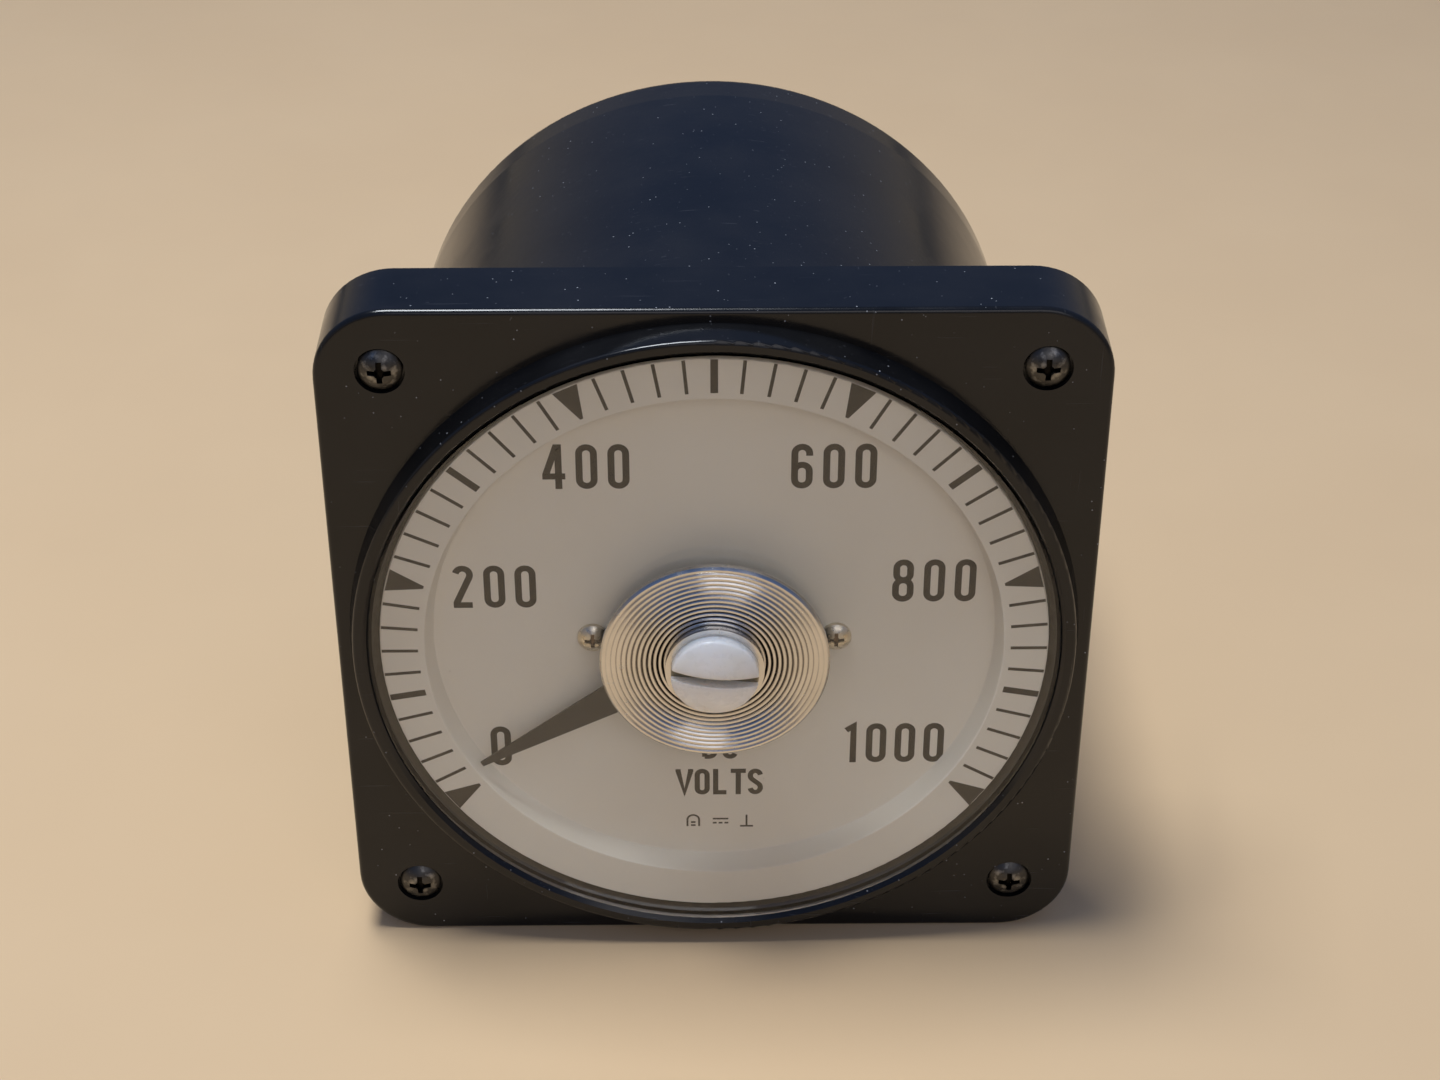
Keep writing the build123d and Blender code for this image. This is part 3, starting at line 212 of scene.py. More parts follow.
def add_light(name, place, width, depth, watts, colour):
    """A soft rectangular lamp that faces the instrument."""
    lamp = bpy.data.lights.new(name, "AREA")
    lamp.shape = "RECTANGLE"
    lamp.size, lamp.size_y = width, depth
    lamp.energy, lamp.color = watts, colour
    holder = bpy.data.objects.new(name, lamp)
    holder.location = place
    holder.rotation_euler = (-Vector(place)).to_track_quat("-Z", "Y").to_euler()
    bpy.context.scene.collection.objects.link(holder)


add_light("overhead_light", place=(-0.16, 0.02, 0.85), width=0.36, depth=0.26, watts=7.2,
          colour=(0.90, 0.95, 1.0))
add_light("front_light", place=(0.25, -1.1, 0.75), width=0.9, depth=0.6, watts=1.9,
          colour=(1.0, 0.93, 0.86))

room_low_colour, room_high_colour = (0.36, 0.31, 0.26, 1.0), (0.12, 0.19, 0.38, 1.0)
room_high_from = 0.42
room_strength = 0.75
room = bpy.data.worlds.new("room")
room.use_nodes = True
bpy.context.scene.world = room
direction = add_node(room.node_tree, "ShaderNodeTexCoord").outputs["Generated"]
height = add_node(room.node_tree, "ShaderNodeSeparateXYZ", {0: direction}).outputs["Z"]
shading = add_node(room.node_tree, "ShaderNodeValToRGB", {0: height})
low_stop, high_stop = shading.color_ramp.elements
low_stop.position, low_stop.color = 0.0, room_low_colour
high_stop.position, high_stop.color = room_high_from, room_high_colour
backdrop = room.node_tree.nodes["Background"]
room.node_tree.links.new(shading.outputs[0], backdrop.inputs["Color"])
backdrop.inputs["Strength"].default_value = room_strength

# ---- Case ----
# A deep black phenolic moulding: a square flange and a round barrel, closed behind. Its skin is
# glossy from the mould, with handling marks, fine scratches and dust that has settled on it.


def black_moulding(name, dust):
    """Glossy black moulding with dust, hair scratches and smears; dust is the share of specks that show."""
    black, greyer_black = (0.0045, 0.0045, 0.005), (0.009, 0.009, 0.010)
    scratch_grey, dust_grey = (0.045, 0.046, 0.05), (0.34, 0.35, 0.37)
    moulded = Finish(name, {"Specular IOR Level": 0.42})
    smears = moulded.noise(14 * mm, 5.0)
    dusty = moulded.level(moulded.noise(5 * mm), 0.46, 0.6, 0.0, dust)
    specks = moulded.times(moulded.specks(1.5 * mm, 0.09), dusty)
    scratches = moulded.level(moulded.noise(0.5 * mm, 2.0, (0.035, 1.0, 1.0)), 0.70, 0.76, 0.0, 0.5)
    cross_scratches = moulded.level(moulded.noise(0.6 * mm, 2.0, (1.0, 0.6, 0.03)), 0.71, 0.77, 0.0, 0.45)
    body = moulded.colour(moulded.level(smears, 0.35, 0.75), black, greyer_black)
    body = moulded.colour(scratches, body, scratch_grey)
    body = moulded.colour(cross_scratches, body, scratch_grey)
    moulded.colour(specks, body, dust_grey)
    moulded.rough(smears, 0.10, 0.26, high=0.75)
    moulded.relief(moulded.noise(1.8 * mm, 2.0), 0.012 * mm)
    moulded.relief(scratches, -0.006 * mm)
    return moulded


case_dust = 0.7
black_moulding("case_moulding", case_dust).on("case")

# ---- Mounting studs ----
# Four 10-32 steel studs, moulded into the flange by their heads, with rolled threads and
# zinc plating. Each is a flat-headed blank; the thread is wound on it by the thread tree.


def add_piece(name, mesh, material, body):
    """A finished piece of the instrument: its mesh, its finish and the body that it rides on."""
    sharp_from = radians(32)
    mesh.materials.clear()
    mesh.materials.append(material)
    for face in mesh.polygons:
        face.use_smooth = True
    mesh.set_sharp_from_angle(angle=sharp_from)
    piece = bpy.data.objects.new(name, mesh)
    bpy.context.scene.collection.objects.link(piece)
    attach(piece, body)
    return piece


def finished_mesh(name, shell):
    """Closes a bmesh into a plain mesh."""
    mesh = bpy.data.meshes.new(name)
    shell.to_mesh(mesh)
    shell.free()
    return mesh


def skin(name, rings, places, tube=False):
    """A closed mesh through rings of points, copied to each place. A tube's last ring joins its first."""
    shell = bmesh.new()
    for place in places:
        made = [[shell.verts.new(point + Vector(place)) for point in ring] for ring in rings]
        count = len(rings[0])
        joined = list(zip(made, made[1:] + made[:1])) if tube else list(zip(made, made[1:]))
        for near, far in joined:
            for n in range(count):
                shell.faces.new((near[n], near[(n + 1) % count], far[(n + 1) % count], far[n]))
        if not tube:
            shell.faces.new(made[0])
            shell.faces.new(made[-1])
    bmesh.ops.recalc_face_normals(shell, faces=shell.faces)
    return finished_mesh(name, shell)


def ring_at(radii, depths):
    """A ring of points round the Y axis, with a radius and a depth for each point."""
    count = len(radii)
    return [Vector((r * sin(2 * pi * n / count), y, r * cos(2 * pi * n / count)))
            for n, (r, y) in enumerate(zip(radii, depths))]


def turned_rings(outline, sides=48):
    """Round rings on the Y axis from points of radius and depth."""
    return [ring_at([r] * sides, [y] * sides) for r, y in outline]


def merged(name, *meshes):
    """Several meshes as one."""
    whole = bmesh.new()
    for mesh in meshes:
        whole.from_mesh(mesh)
    return finished_mesh(name, whole)


def new_tree(name, inputs):
    """An empty tree with named inputs, and the outputs that give them."""
    tree = bpy.data.node_groups.new(name, "GeometryNodeTree")
    for label, kind in inputs.items():
        tree.interface.new_socket(label, in_out="INPUT", socket_type="NodeSocket" + kind)
    tree.interface.new_socket("Geometry", in_out="OUTPUT", socket_type="NodeSocketGeometry")
    return tree, add_node(tree, "NodeGroupInput").outputs


def end_tree(tree, geometry, finish):
    """Ends a tree: copies are made real and given their finish."""
    realized = add_node(tree, "GeometryNodeRealizeInstances", {0: geometry})
    painted = add_node(tree, "GeometryNodeSetMaterial", {0: realized.outputs[0], "Material": finish})
    add_node(tree, "NodeGroupOutput", {0: painted.outputs[0]})


def grown(name, tree, places, values):
    """The plain mesh that a tree makes on a few points, with its named inputs set."""
    points = bpy.data.meshes.new(name)
    points.from_pydata(places, [], [])
    holder = bpy.data.objects.new(name, points)
    bpy.context.scene.collection.objects.link(holder)
    grower = holder.modifiers.new(name, "NODES")
    grower.node_group = tree
    sockets = {item.name: item.identifier for item in tree.interface.items_tree if item.in_out == "INPUT"}
    for label, value in values.items():
        grower[sockets[label]] = value
    evaluated = holder.evaluated_get(bpy.context.evaluated_depsgraph_get())
    mesh = bpy.data.meshes.new_from_object(evaluated)
    holder.modifiers.remove(grower)
    bpy.data.objects.remove(holder)
    return mesh


def rightened(mesh):
    """The same mesh with its seams merged and its faces pointing outwards."""
    shell = bmesh.new()
    shell.from_mesh(mesh)
    bmesh.ops.remove_doubles(shell, verts=shell.verts, dist=0.002 * mm)
    bmesh.ops.dissolve_degenerate(shell, edges=shell.edges, dist=0.001 * mm)
    bmesh.ops.recalc_face_normals(shell, faces=shell.faces)
    shell.to_mesh(mesh)
    shell.free()
    return mesh


# The thread is a sheet wound round the Y axis. Its rows follow the helix, so every row is a
# crest or a root. The radius falls away at both ends, where the stud is pointed.
thread_tree, given = new_tree("thread", {
    "Places": "Geometry", "Start": "Float", "Length": "Float", "Crest Radius": "Float",
    "Thread Depth": "Float", "Pitch": "Float", "Point": "Float", "Finish": "Material"})


def wind(operation, one, other=0.0):
    """One step of arithmetic in the thread tree."""
    return add_node(thread_tree, "ShaderNodeMath", {0: one, 1: other}, operation=operation).outputs[0]


rows_per_turn = 4
sides_of_thread = 36
spare_turns = 3.0
seam_gap = 0.004 * mm
turns = wind("DIVIDE", given["Length"], given["Pitch"])
row_count = wind("CEIL", wind("MULTIPLY", wind("ADD", turns, spare_turns), rows_per_turn))
sheet = add_node(thread_tree, "GeometryNodeMeshGrid",
                 {"Size X": 1.0, "Size Y": 1.0, "Vertices X": sides_of_thread + 1, "Vertices Y": row_count})
index = add_node(thread_tree, "GeometryNodeInputIndex").outputs[0]
column = wind("FLOOR", wind("DIVIDE", index, row_count))
row = wind("SUBTRACT", index, wind("MULTIPLY", column, row_count))
turn_share = wind("DIVIDE", column, float(sides_of_thread))
turn_angle = wind("MULTIPLY", turn_share, 2 * pi)
turns_along = wind("ADD", wind("DIVIDE", row, rows_per_turn), wind("SUBTRACT", turn_share, spare_turns / 2))
run = wind("MAXIMUM", wind("MULTIPLY", turns_along, given["Pitch"]), 0.0)
run = wind("MINIMUM", run, given["Length"])
is_root = wind("GREATER_THAN", wind("MODULO", row, float(rows_per_turn)), rows_per_turn / 2 - 0.5)
full_r = wind("SUBTRACT", given["Crest Radius"], wind("MULTIPLY", is_root, given["Thread Depth"]))
from_end = wind("MINIMUM", run, wind("SUBTRACT", given["Length"], run))
point_r = wind("ADD", wind("SUBTRACT", given["Crest Radius"], given["Point"]), from_end)
thread_r = wind("MINIMUM", full_r, point_r)
before_last = wind("SUBTRACT", row_count, 1.5)
inside = wind("MULTIPLY", wind("GREATER_THAN", row, 0.5), wind("LESS_THAN", row, before_last))
closed_r = wind("MULTIPLY", thread_r, inside)
spot = add_node(thread_tree, "ShaderNodeCombineXYZ",
                {0: wind("MULTIPLY", closed_r, wind("SINE", turn_angle)), 1: wind("ADD", run, given["Start"]),
                 2: wind("MULTIPLY", closed_r, wind("COSINE", turn_angle))}).outputs[0]
wound = add_node(thread_tree, "GeometryNodeSetPosition",
                 {"Geometry": sheet.outputs["Mesh"], "Position": spot})
sealed = add_node(thread_tree, "GeometryNodeMergeByDistance",
                  {"Geometry": wound.outputs[0], "Distance": seam_gap})
standing = add_node(thread_tree, "GeometryNodeInstanceOnPoints",
                    {"Points": given["Places"], "Instance": sealed.outputs[0]})
end_tree(thread_tree, standing.outputs[0], given["Finish"])

plated_steel = Finish("plated_steel", {"Metallic": 1.0})
plated_steel.mottled(2 * mm, (0.50, 0.49, 0.47), (0.62, 0.62, 0.60))
plated_steel.rough(plated_steel.noise(0.8 * mm), 0.26, 0.38)
plated_steel.relief(plated_steel.noise(0.25 * mm, 2.0), 0.01 * mm)

stud_low, stud_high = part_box("mounting_studs")
stud_head_r, stud_head_front = 3.8 * mm, stud_low.y
stud_head_rear = stud_head_front + 2.5 * mm
stud_head_bevel = 0.3 * mm
stud_r, stud_pitch, stud_thread, stud_point = 2.4 * mm, 0.794 * mm, 0.42 * mm, 0.65 * mm
stud_overlap = 0.4 * mm
stud_half = stud_high.x - stud_head_r
stud_places = [(x, 0.0, z) for x in (-stud_half, stud_half) for z in (-stud_half, stud_half)]
stud_outline = [(stud_head_r - stud_head_bevel, stud_head_front),
                (stud_head_r, stud_head_front + stud_head_bevel),
                (stud_head_r, stud_head_rear), (stud_r, stud_head_rear), (stud_r, 0.0)]
stud_heads = skin("stud_heads", turned_rings(stud_outline), stud_places)
stud_threads = rightened(grown("stud_threads", thread_tree, stud_places, {
    "Start": -stud_overlap, "Length": stud_high.y + stud_overlap, "Crest Radius": stud_r,
    "Thread Depth": stud_thread, "Pitch": stud_pitch, "Point": stud_point, "Finish": plated_steel.material}))
studs = add_piece("threaded_mounting_studs", merged("threaded_mounting_studs", stud_heads, stud_threads),
                  plated_steel.material, "housing")
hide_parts("mounting_studs")

# ---- Gaskets and screw inserts ----
# A square frame of black rubber seals the cover to the flange, a ring seals the window and a
# small ring the adjuster. Knurled brass inserts in the flange take the cover screws.
rubber = Finish("black_rubber", {"Specular IOR Level": 0.3})
rubber.mottled(3 * mm, (0.016, 0.016, 0.016), (0.035, 0.034, 0.033), low=0.35)
rubber.rough(rubber.noise(1 * mm), 0.65, 0.85)
rubber.relief(rubber.noise(0.2 * mm, 2.0), 0.02 * mm)
rubber.on("cover_gasket", "window_gasket", "adjuster_oring")


def brass(name, half_x=0.0, half_z=0.0):
    """Turned brass, a little tarnished, with its turning marks round pieces at these distances."""
    metal = Finish(name, {"Metallic": 1.0})
    metal.fold(half_x, half_z)
    metal.mottled(2.2 * mm, (0.80, 0.60, 0.28), (0.46, 0.32, 0.14), low=0.4, detail=4.0)
    metal.rough(metal.noise(0.7 * mm), 0.20, 0.42)
    turning_marks = metal.wave(0.12 * mm, 0.6, wave_type="RINGS", rings_direction="Y")
    metal.relief(turning_marks, 0.006 * mm)
    return metal


cover_screw_head_r = 3.15 * mm
cover_screw_low, cover_screw_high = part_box("cover_screws")
cover_screw_half = cover_screw_high.x - cover_screw_head_r
brass("insert_brass", cover_screw_half, cover_screw_half).on("screw_inserts")

# ---- Front cover ----
# The same glossy black phenolic as the case: a square bezel with a raised ring and a lip
# round the window. Hands reach it more often, so it holds more dust.
cover_dust = 1.0
black_moulding("cover_moulding", cover_dust).on("front_cover")

# ---- Cover screws ----
# Four blackened steel pan-head screws with a cross recess. The black is worn to bare steel
# where drivers and fingers have rubbed. The cross recess is painted near black as painted shade.
blackened = Finish("blackened_steel", {"Metallic": 1.0})
blackened.fold(cover_screw_half, cover_screw_half)
worn_black = blackened.mottled(1.3 * mm, (0.085, 0.082, 0.078), (0.30, 0.29, 0.27), 0.52, 0.68, detail=5.0)
cover_recess_painted_shade = blackened.recess_shade_mask(cover_screw_low.y, 2.0 * mm, 0.35 * mm)
# Painted shade: the cross recess is coloured near black.
blackened.colour(cover_recess_painted_shade, worn_black, (0.012, 0.011, 0.010))
blackened.rough(blackened.noise(0.6 * mm), 0.26, 0.5)
blackened.relief(blackened.noise(0.18 * mm, 3.0), 0.014 * mm)
blackened.on("cover_screws")

# ---- Window ----
# One clear acrylic moulding, flat and polished, with a bush in the middle for the adjuster.
# Lamps shine through it, so the dial behind is lit.
clear = Finish("clear_window", {"Transmission Weight": 1.0, "IOR": 1.49})
clear.mottled(30 * mm, (0.985, 0.99, 0.985), (0.97, 0.975, 0.97))
clear.rough(clear.noise(5 * mm, 4.0), 0.0, 0.05, 0.55, 0.8)
clear.relief(clear.noise(25 * mm), 0.02 * mm, 0.3)
lamp_ray = add_node(clear.tree, "ShaderNodeLightPath").outputs["Is Shadow Ray"]
let_through = add_node(clear.tree, "ShaderNodeBsdfTransparent", {"Color": (0.93, 0.94, 0.93, 1.0)})
window_shader = add_node(clear.tree, "ShaderNodeMixShader",
                         {0: lamp_ray, 1: clear.shader.outputs[0], 2: let_through.outputs[0]})
clear.tree.links.new(window_shader.outputs[0], clear.tree.nodes["Material Output"].inputs["Surface"])
clear.on("window")

# ---- Window retainer ----
# A black moulded ring pressed in behind the window; its satin cone is the wall that the
# reader sees between the window and the dial.
satin_black = Finish("satin_black", {"Specular IOR Level": 0.4})
satin_black.mottled(4 * mm, (0.016, 0.013, 0.012), (0.026, 0.021, 0.019))
satin_black.rough(satin_black.noise(1.5 * mm), 0.38, 0.55)
satin_black.relief(satin_black.noise(0.4 * mm), 0.01 * mm)
satin_black.on("window_retainer")

# ---- Hub disc ----
# A turned aluminium disc cemented to the window round its bush. Its grooves are cut in the
# metal and are painted dark as painted shade, most of all near the middle; the tool has left finer marks on
# the lands.
hub_collar_height = 1.65 * mm
land_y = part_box("hub_disc")[0].y + hub_collar_height
hub_metal = Finish("turned_aluminium", {"Metallic": 1.0})
turned_face = hub_metal.mottled(6 * mm, (0.66, 0.645, 0.62), (0.74, 0.72, 0.70))
groove_painted_shade = hub_metal.level(hub_metal.depth(), land_y + 0.03 * mm, land_y + 0.2 * mm)
near_middle = hub_metal.level(hub_metal.from_axis(), 8.5 * mm, 15.5 * mm, 1.0, 0.25)
# Painted shade: the grooves are coloured near black, most of all near the middle.
hub_metal.colour(hub_metal.times(groove_painted_shade, near_middle), turned_face, (0.05, 0.04, 0.03))
hub_metal.rough(hub_metal.noise(2 * mm), 0.16, 0.28)
hub_metal.relief(hub_metal.wave(0.09 * mm, 0.3, wave_type="RINGS", rings_direction="Y"), 0.0006 * mm)
hub_metal.on("hub_disc")

# ---- Zero adjuster ----
# A white nylon knob, domed, with one driver slot, which is painted dark as painted shade. Nylon lets
# some light into itself, so the knob glows from above. Behind the window its shaft carries an aluminium
# crank.
slot_tilt, slot_half_width = radians(5.5), 0.75 * mm
slot_shade_inner, slot_shade_outer = slot_half_width - 0.08 * mm, slot_half_width + 0.03 * mm
nylon = Finish("white_nylon", {
    "Subsurface Weight": 1.0, "Subsurface Scale": 4 * mm, "Subsurface Radius": (1.0, 0.9, 0.8),
    "Coat Weight": 0.5, "Coat Roughness": 0.12})
across_slot = nylon.vector("DOT_PRODUCT", nylon.place, (sin(slot_tilt), 0.0, cos(slot_tilt)), result="Value")
from_slot = add_node(nylon.tree, "ShaderNodeMath", {0: across_slot}, operation="ABSOLUTE").outputs[0]
clean_nylon = nylon.mottled(4 * mm, (0.92, 0.93, 0.93), (0.84, 0.84, 0.81), 0.4, 0.75)
# Painted shade: a dark olive band is coloured along the slot.
slot_painted_shade = nylon.level(from_slot, slot_shade_inner, slot_shade_outer, 1.0, 0.0)
nylon.colour(slot_painted_shade, clean_nylon, (0.16, 0.135, 0.075))
nylon.rough(nylon.noise(1.2 * mm), 0.22, 0.38)
nylon.relief(nylon.noise(0.5 * mm), 0.008 * mm)
nylon.on("zero_adjuster")


def sheet_aluminium(name, light):
    """Plain rolled aluminium, as light as this, with fine rolling marks along X."""
    metal = Finish(name, {"Metallic": 1.0})
    metal.mottled(5 * mm, (light * 0.88,) * 3, (light, light, light * 1.01))
    metal.rough(metal.noise(0.5 * mm, 2.0, (0.05, 1.0, 1.0)), 0.25, 0.45)
    metal.relief(metal.noise(0.15 * mm, 2.0, (0.04, 1.0, 1.0)), 0.006 * mm)
    return metal


bright_sheet = sheet_aluminium("sheet_aluminium", 0.78)
bright_sheet.on("adjuster_crank", "zero_arm", "dial_support", "coil_former", "front_staff", "rear_staff")

# ---- Dial ----
# A pressed aluminium dish in matt white enamel, yellowed a little. The scale is printed on its
# raised rim, level with the pointer, and the figures on its floor.
enamel = Finish("dial_enamel", {"Specular IOR Level": 0.35})
aged = enamel.mottled(22 * mm, (0.80, 0.75, 0.68), (0.77, 0.715, 0.64), low=0.35, detail=4.0)
enamel.colour(enamel.times(enamel.specks(6 * mm, 0.03), 0.5), aged, (0.45, 0.40, 0.34))
enamel.rough(enamel.noise(3 * mm), 0.45, 0.6)
enamel.relief(enamel.noise(0.35 * mm, 3.0), 0.008 * mm)
enamel.on("dial_plate")
dial_depth = 3.45 * mm
scale_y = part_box("dial_plate")[0].y
dial_floor_y = scale_y + dial_depth
print_height = 0.03 * mm

# The scale is in dark ink: 50 divisions over 250 degrees, with a wedge at each figure and a
# heavy line half-way between two figures.
ink = Finish("scale_ink", {"Specular IOR Level": 0.3})
ink.mottled(1.5 * mm, (0.011, 0.008, 0.006), (0.020, 0.015, 0.011), low=0.35, detail=4.0)
ink.rough(ink.noise(0.4 * mm), 0.5, 0.7)
ink.relief(ink.noise(0.1 * mm), 0.004 * mm)

scale_tree, told = new_tree("scale_marks", {
    "Places": "Geometry", "First Angle": "Float", "Step": "Float", "Count": "Int", "Inner Radius": "Float",
    "Outer Radius": "Float", "Line Width": "Float", "Heavy Width": "Float", "Wedge Width": "Float",
    "Wedge Narrowing": "Float", "Height": "Float", "Finish": "Material"})


def reckon(operation, one, other=0.0):
    """One step of arithmetic in the scale tree."""
    return add_node(scale_tree, "ShaderNodeMath", {0: one, 1: other}, operation=operation).outputs[0]


def scale_vector(x=0.0, y=0.0, z=0.0):
    """Three values of the scale tree as one vector."""
    return add_node(scale_tree, "ShaderNodeCombineXYZ", {0: x, 1: y, 2: z}).outputs[0]


divisions_per_figure = 10
mark_length = reckon("SUBTRACT", told["Outer Radius"], told["Inner Radius"])
mark_middle = reckon("DIVIDE", reckon("ADD", told["Outer Radius"], told["Inner Radius"]), 2.0)
spots = add_node(scale_tree, "GeometryNodePoints", {"Count": told["Count"]}).outputs[0]
mark_index = add_node(scale_tree, "GeometryNodeInputIndex").outputs[0]
mark_angle = reckon("ADD", told["First Angle"], reckon("MULTIPLY", mark_index, told["Step"]))
place_between_figures = reckon("MODULO", mark_index, float(divisions_per_figure))
at_figure = reckon("LESS_THAN", place_between_figures, 0.5)
at_half = reckon("COMPARE", place_between_figures, divisions_per_figure / 2)
plain_mark = reckon("SUBTRACT", reckon("SUBTRACT", 1.0, at_figure), at_half)
all_marks = add_node(scale_tree, "GeometryNodeJoinGeometry")
for label, chosen in (("Line Width", plain_mark), ("Heavy Width", at_half), ("Wedge Width", at_figure)):
    block_size = scale_vector(told[label], told["Height"], mark_length)
    block = add_node(scale_tree, "GeometryNodeMeshCube", {"Size": block_size}).outputs[0]
    if label == "Wedge Width":
        corner = add_node(scale_tree, "GeometryNodeInputPosition").outputs[0]
        along = add_node(scale_tree, "ShaderNodeSeparateXYZ", {0: corner}).outputs[2]
        at_inner_end = reckon("LESS_THAN", along, 0.0)
        narrower = reckon("SUBTRACT", 1.0, reckon("MULTIPLY", at_inner_end, told["Wedge Narrowing"]))
        squeezed = add_node(scale_tree, "ShaderNodeVectorMath",
                            {0: corner, 1: scale_vector(narrower, 1.0, 1.0)}, operation="MULTIPLY").outputs[0]
        block = add_node(scale_tree, "GeometryNodeSetPosition",
                         {"Geometry": block, "Position": squeezed}).outputs[0]
    placed = add_node(scale_tree, "GeometryNodeTransform",
                      {"Geometry": block, "Translation": scale_vector(z=mark_middle)}).outputs[0]
    marks = add_node(scale_tree, "GeometryNodeInstanceOnPoints", {
        "Points": spots, "Selection": chosen, "Instance": placed, "Rotation": scale_vector(y=mark_angle)})
    scale_tree.links.new(marks.outputs[0], all_marks.inputs[0])
end_tree(scale_tree, all_marks.outputs[0], told["Finish"])

scale_sweep, scale_divisions = 250.0, 50
scale_mesh = grown("scale_marks", scale_tree, [], {
    "First Angle": radians(-scale_sweep / 2), "Step": radians(scale_sweep / scale_divisions),
    "Count": scale_divisions + 1, "Inner Radius": 43.2 * mm, "Outer Radius": 48.5 * mm,
    "Line Width": 0.5 * mm, "Heavy Width": 1.05 * mm, "Wedge Width": 3.8 * mm, "Wedge Narrowing": 0.88,
    "Height": print_height, "Finish": ink.material})
scale_mesh.transform(Matrix.Translation((0.0, scale_y - print_height / 2, 0.0)))
add_piece("scale_marks", scale_mesh, ink.material, "housing")

# The figures and letters are printed in strokes of one width with rounded corners. A figure is
# a list of lines in millimetres from its own middle.


def bend(x, z, across, up, start, end, steps=10):
    """Points on part of an ellipse, anticlockwise from start to end in degrees."""
    angles = [radians(start + (end - start) * n / steps) for n in range(steps + 1)]
    return [(x + across * cos(a), z + up * sin(a)) for a in angles]


def letter_o(half, tall):
    """The outline of a narrow nought: two half rings and two straight sides."""
    return bend(0, tall - half, half, half, 0, 180) + bend(0, half - tall, half, half, 180, 360)


figures = {
    "0": [letter_o(1.04, 3.2)],
    "1": [[(0.4, -3.69), (0.4, 3.2), (-0.7, 2.4)]],
    "2": [bend(0, 2.1, 1.04, 1.1, 165, -25) + [(-1.04, -2.8), (-1.04, -3.2), (1.25, -3.2)]],
    "4": [[(0.55, -3.69), (0.55, 3.2), (0.25, 3.2), (-1.25, -1.3), (-1.25, -1.6), (1.5, -1.6)]],
    "6": [[(1.04, 1.75)] + bend(0, 2.16, 1.04, 1.04, 0, 180)
          + bend(0, -2.16, 1.04, 1.04, 180, 360) + bend(0, -0.8, 1.04, 1.04, 0, 165)],
    "8": [bend(0, 2.2, 1.0, 1.0, 0, 180) + bend(0, 1.1, 1.0, 1.0, 180, 360),
          bend(0, -1.0, 1.07, 1.07, 0, 180) + bend(0, -2.13, 1.07, 1.07, 180, 360)],
}
letters = {
    "V": [[(-0.95, 2.45), (-0.95, 2.07), (0, -2.1), (0.95, 2.07), (0.95, 2.45)]],
    "O": [letter_o(0.75, 2.07)],
    "L": [[(-0.7, 2.45), (-0.7, -2.07), (0.95, -2.07)]],
    "T": [[(-1.15, 2.07), (1.15, 2.07)], [(0, 2.07), (0, -2.45)]],
    "S": [bend(0, 1.15, 0.78, 0.92, 10, 235) + bend(0, -1.15, 0.78, 0.92, 55, -170)],
    "D": [[(-0.75, -2.07), (-0.75, 2.07)] + bend(-0.1, 1.22, 0.85, 0.85, 90, 0)
          + bend(-0.1, -1.22, 0.85, 0.85, 0, -90) + [(-0.75, -2.07)]],
    "C": [bend(0, 1.32, 0.75, 0.75, 15, 180) + bend(0, -1.32, 0.75, 0.75, 180, 345)],
}
closed_shapes = ("0", "8", "O")


def inked_line(shell, points, width, place, layer, closed):
    """One printed stroke: a flat ribbon along its points, raised off the enamel by the ink's height."""
    same_point = 1e-4
    sharpest = 0.5
    layer_step = 0.004 * mm
    line = [Vector(point) for point in points]
    line = [p for n, p in enumerate(line) if n == 0 or (p - line[n - 1]).length > same_point]
    if closed and (line[0] - line[-1]).length < same_point:
        line.pop()
    front, back = place[1] - print_height - layer * layer_step, place[1]
    rows = []
    for n, p in enumerate(line):
        before = p - line[n - 1] if n or closed else line[1] - p
        after = line[(n + 1) % len(line)] - p if n < len(line) - 1 or closed else p - line[n - 1]
        before.normalize()
        after.normalize()
        across = Vector((-(before + after).y, (before + after).x)).normalized()
        reach = width / 2 / max(sharpest, across.dot(Vector((-before.y, before.x))))
        left, right = p + across * reach, p - across * reach
        rows.append([shell.verts.new((place[0] + q.x * mm, y, place[2] + q.y * mm))
                     for q, y in ((left, front), (right, front), (right, back), (left, back))])
    pairs = list(zip(rows, rows[1:] + rows[:1])) if closed else list(zip(rows, rows[1:]))
    for one, other in pairs:
        for n in range(4):
            shell.faces.new((one[n], one[(n + 1) % 4], other[(n + 1) % 4], other[n]))
    if not closed:
        shell.faces.new(rows[0])
        shell.faces.new(rows[-1])


def add_print(name, shapes, stroke, words):
    """Words printed on the dial's floor: each a text, its middle, and the steps between its characters."""
    shell = bmesh.new()
    for text, middle_x, middle_z, pitches in words:
        starts = [sum(pitches[:n]) for n in range(len(text))]
        first_x = middle_x - starts[-1] / 2
        for character, start in zip(text, starts):
            place = ((first_x + start) * mm, dial_floor_y, middle_z * mm)
            for layer, points in enumerate(shapes[character]):
                inked_line(shell, points, stroke, place, layer, character in closed_shapes)
    bmesh.ops.recalc_face_normals(shell, faces=shell.faces)
    add_piece(name, finished_mesh(name, shell), ink.material, "housing")


figure_stroke, letter_stroke, sign_stroke = 0.98, 0.8, 0.3
figure_pitches = (4.52, 4.52)
add_print("scale_figures", figures, figure_stroke, [
    ("0", -32.2, -20.2, ()), ("200", -31.9, 8.9, figure_pitches), ("400", -18.0, 29.3, figure_pitches),
    ("600", 16.9, 29.2, figure_pitches), ("800", 31.9, 9.6, figure_pitches),
    ("1000", 26.8, -20.0, (3.85, 4.35, 4.35))])
unit_x = 0.8
add_print("unit_letters", letters, letter_stroke, [
    ("VOLTS", unit_x, -27.3, (2.7, 2.75, 2.75, 2.6)), ("DC", unit_x, -20.4, (3.1,))])

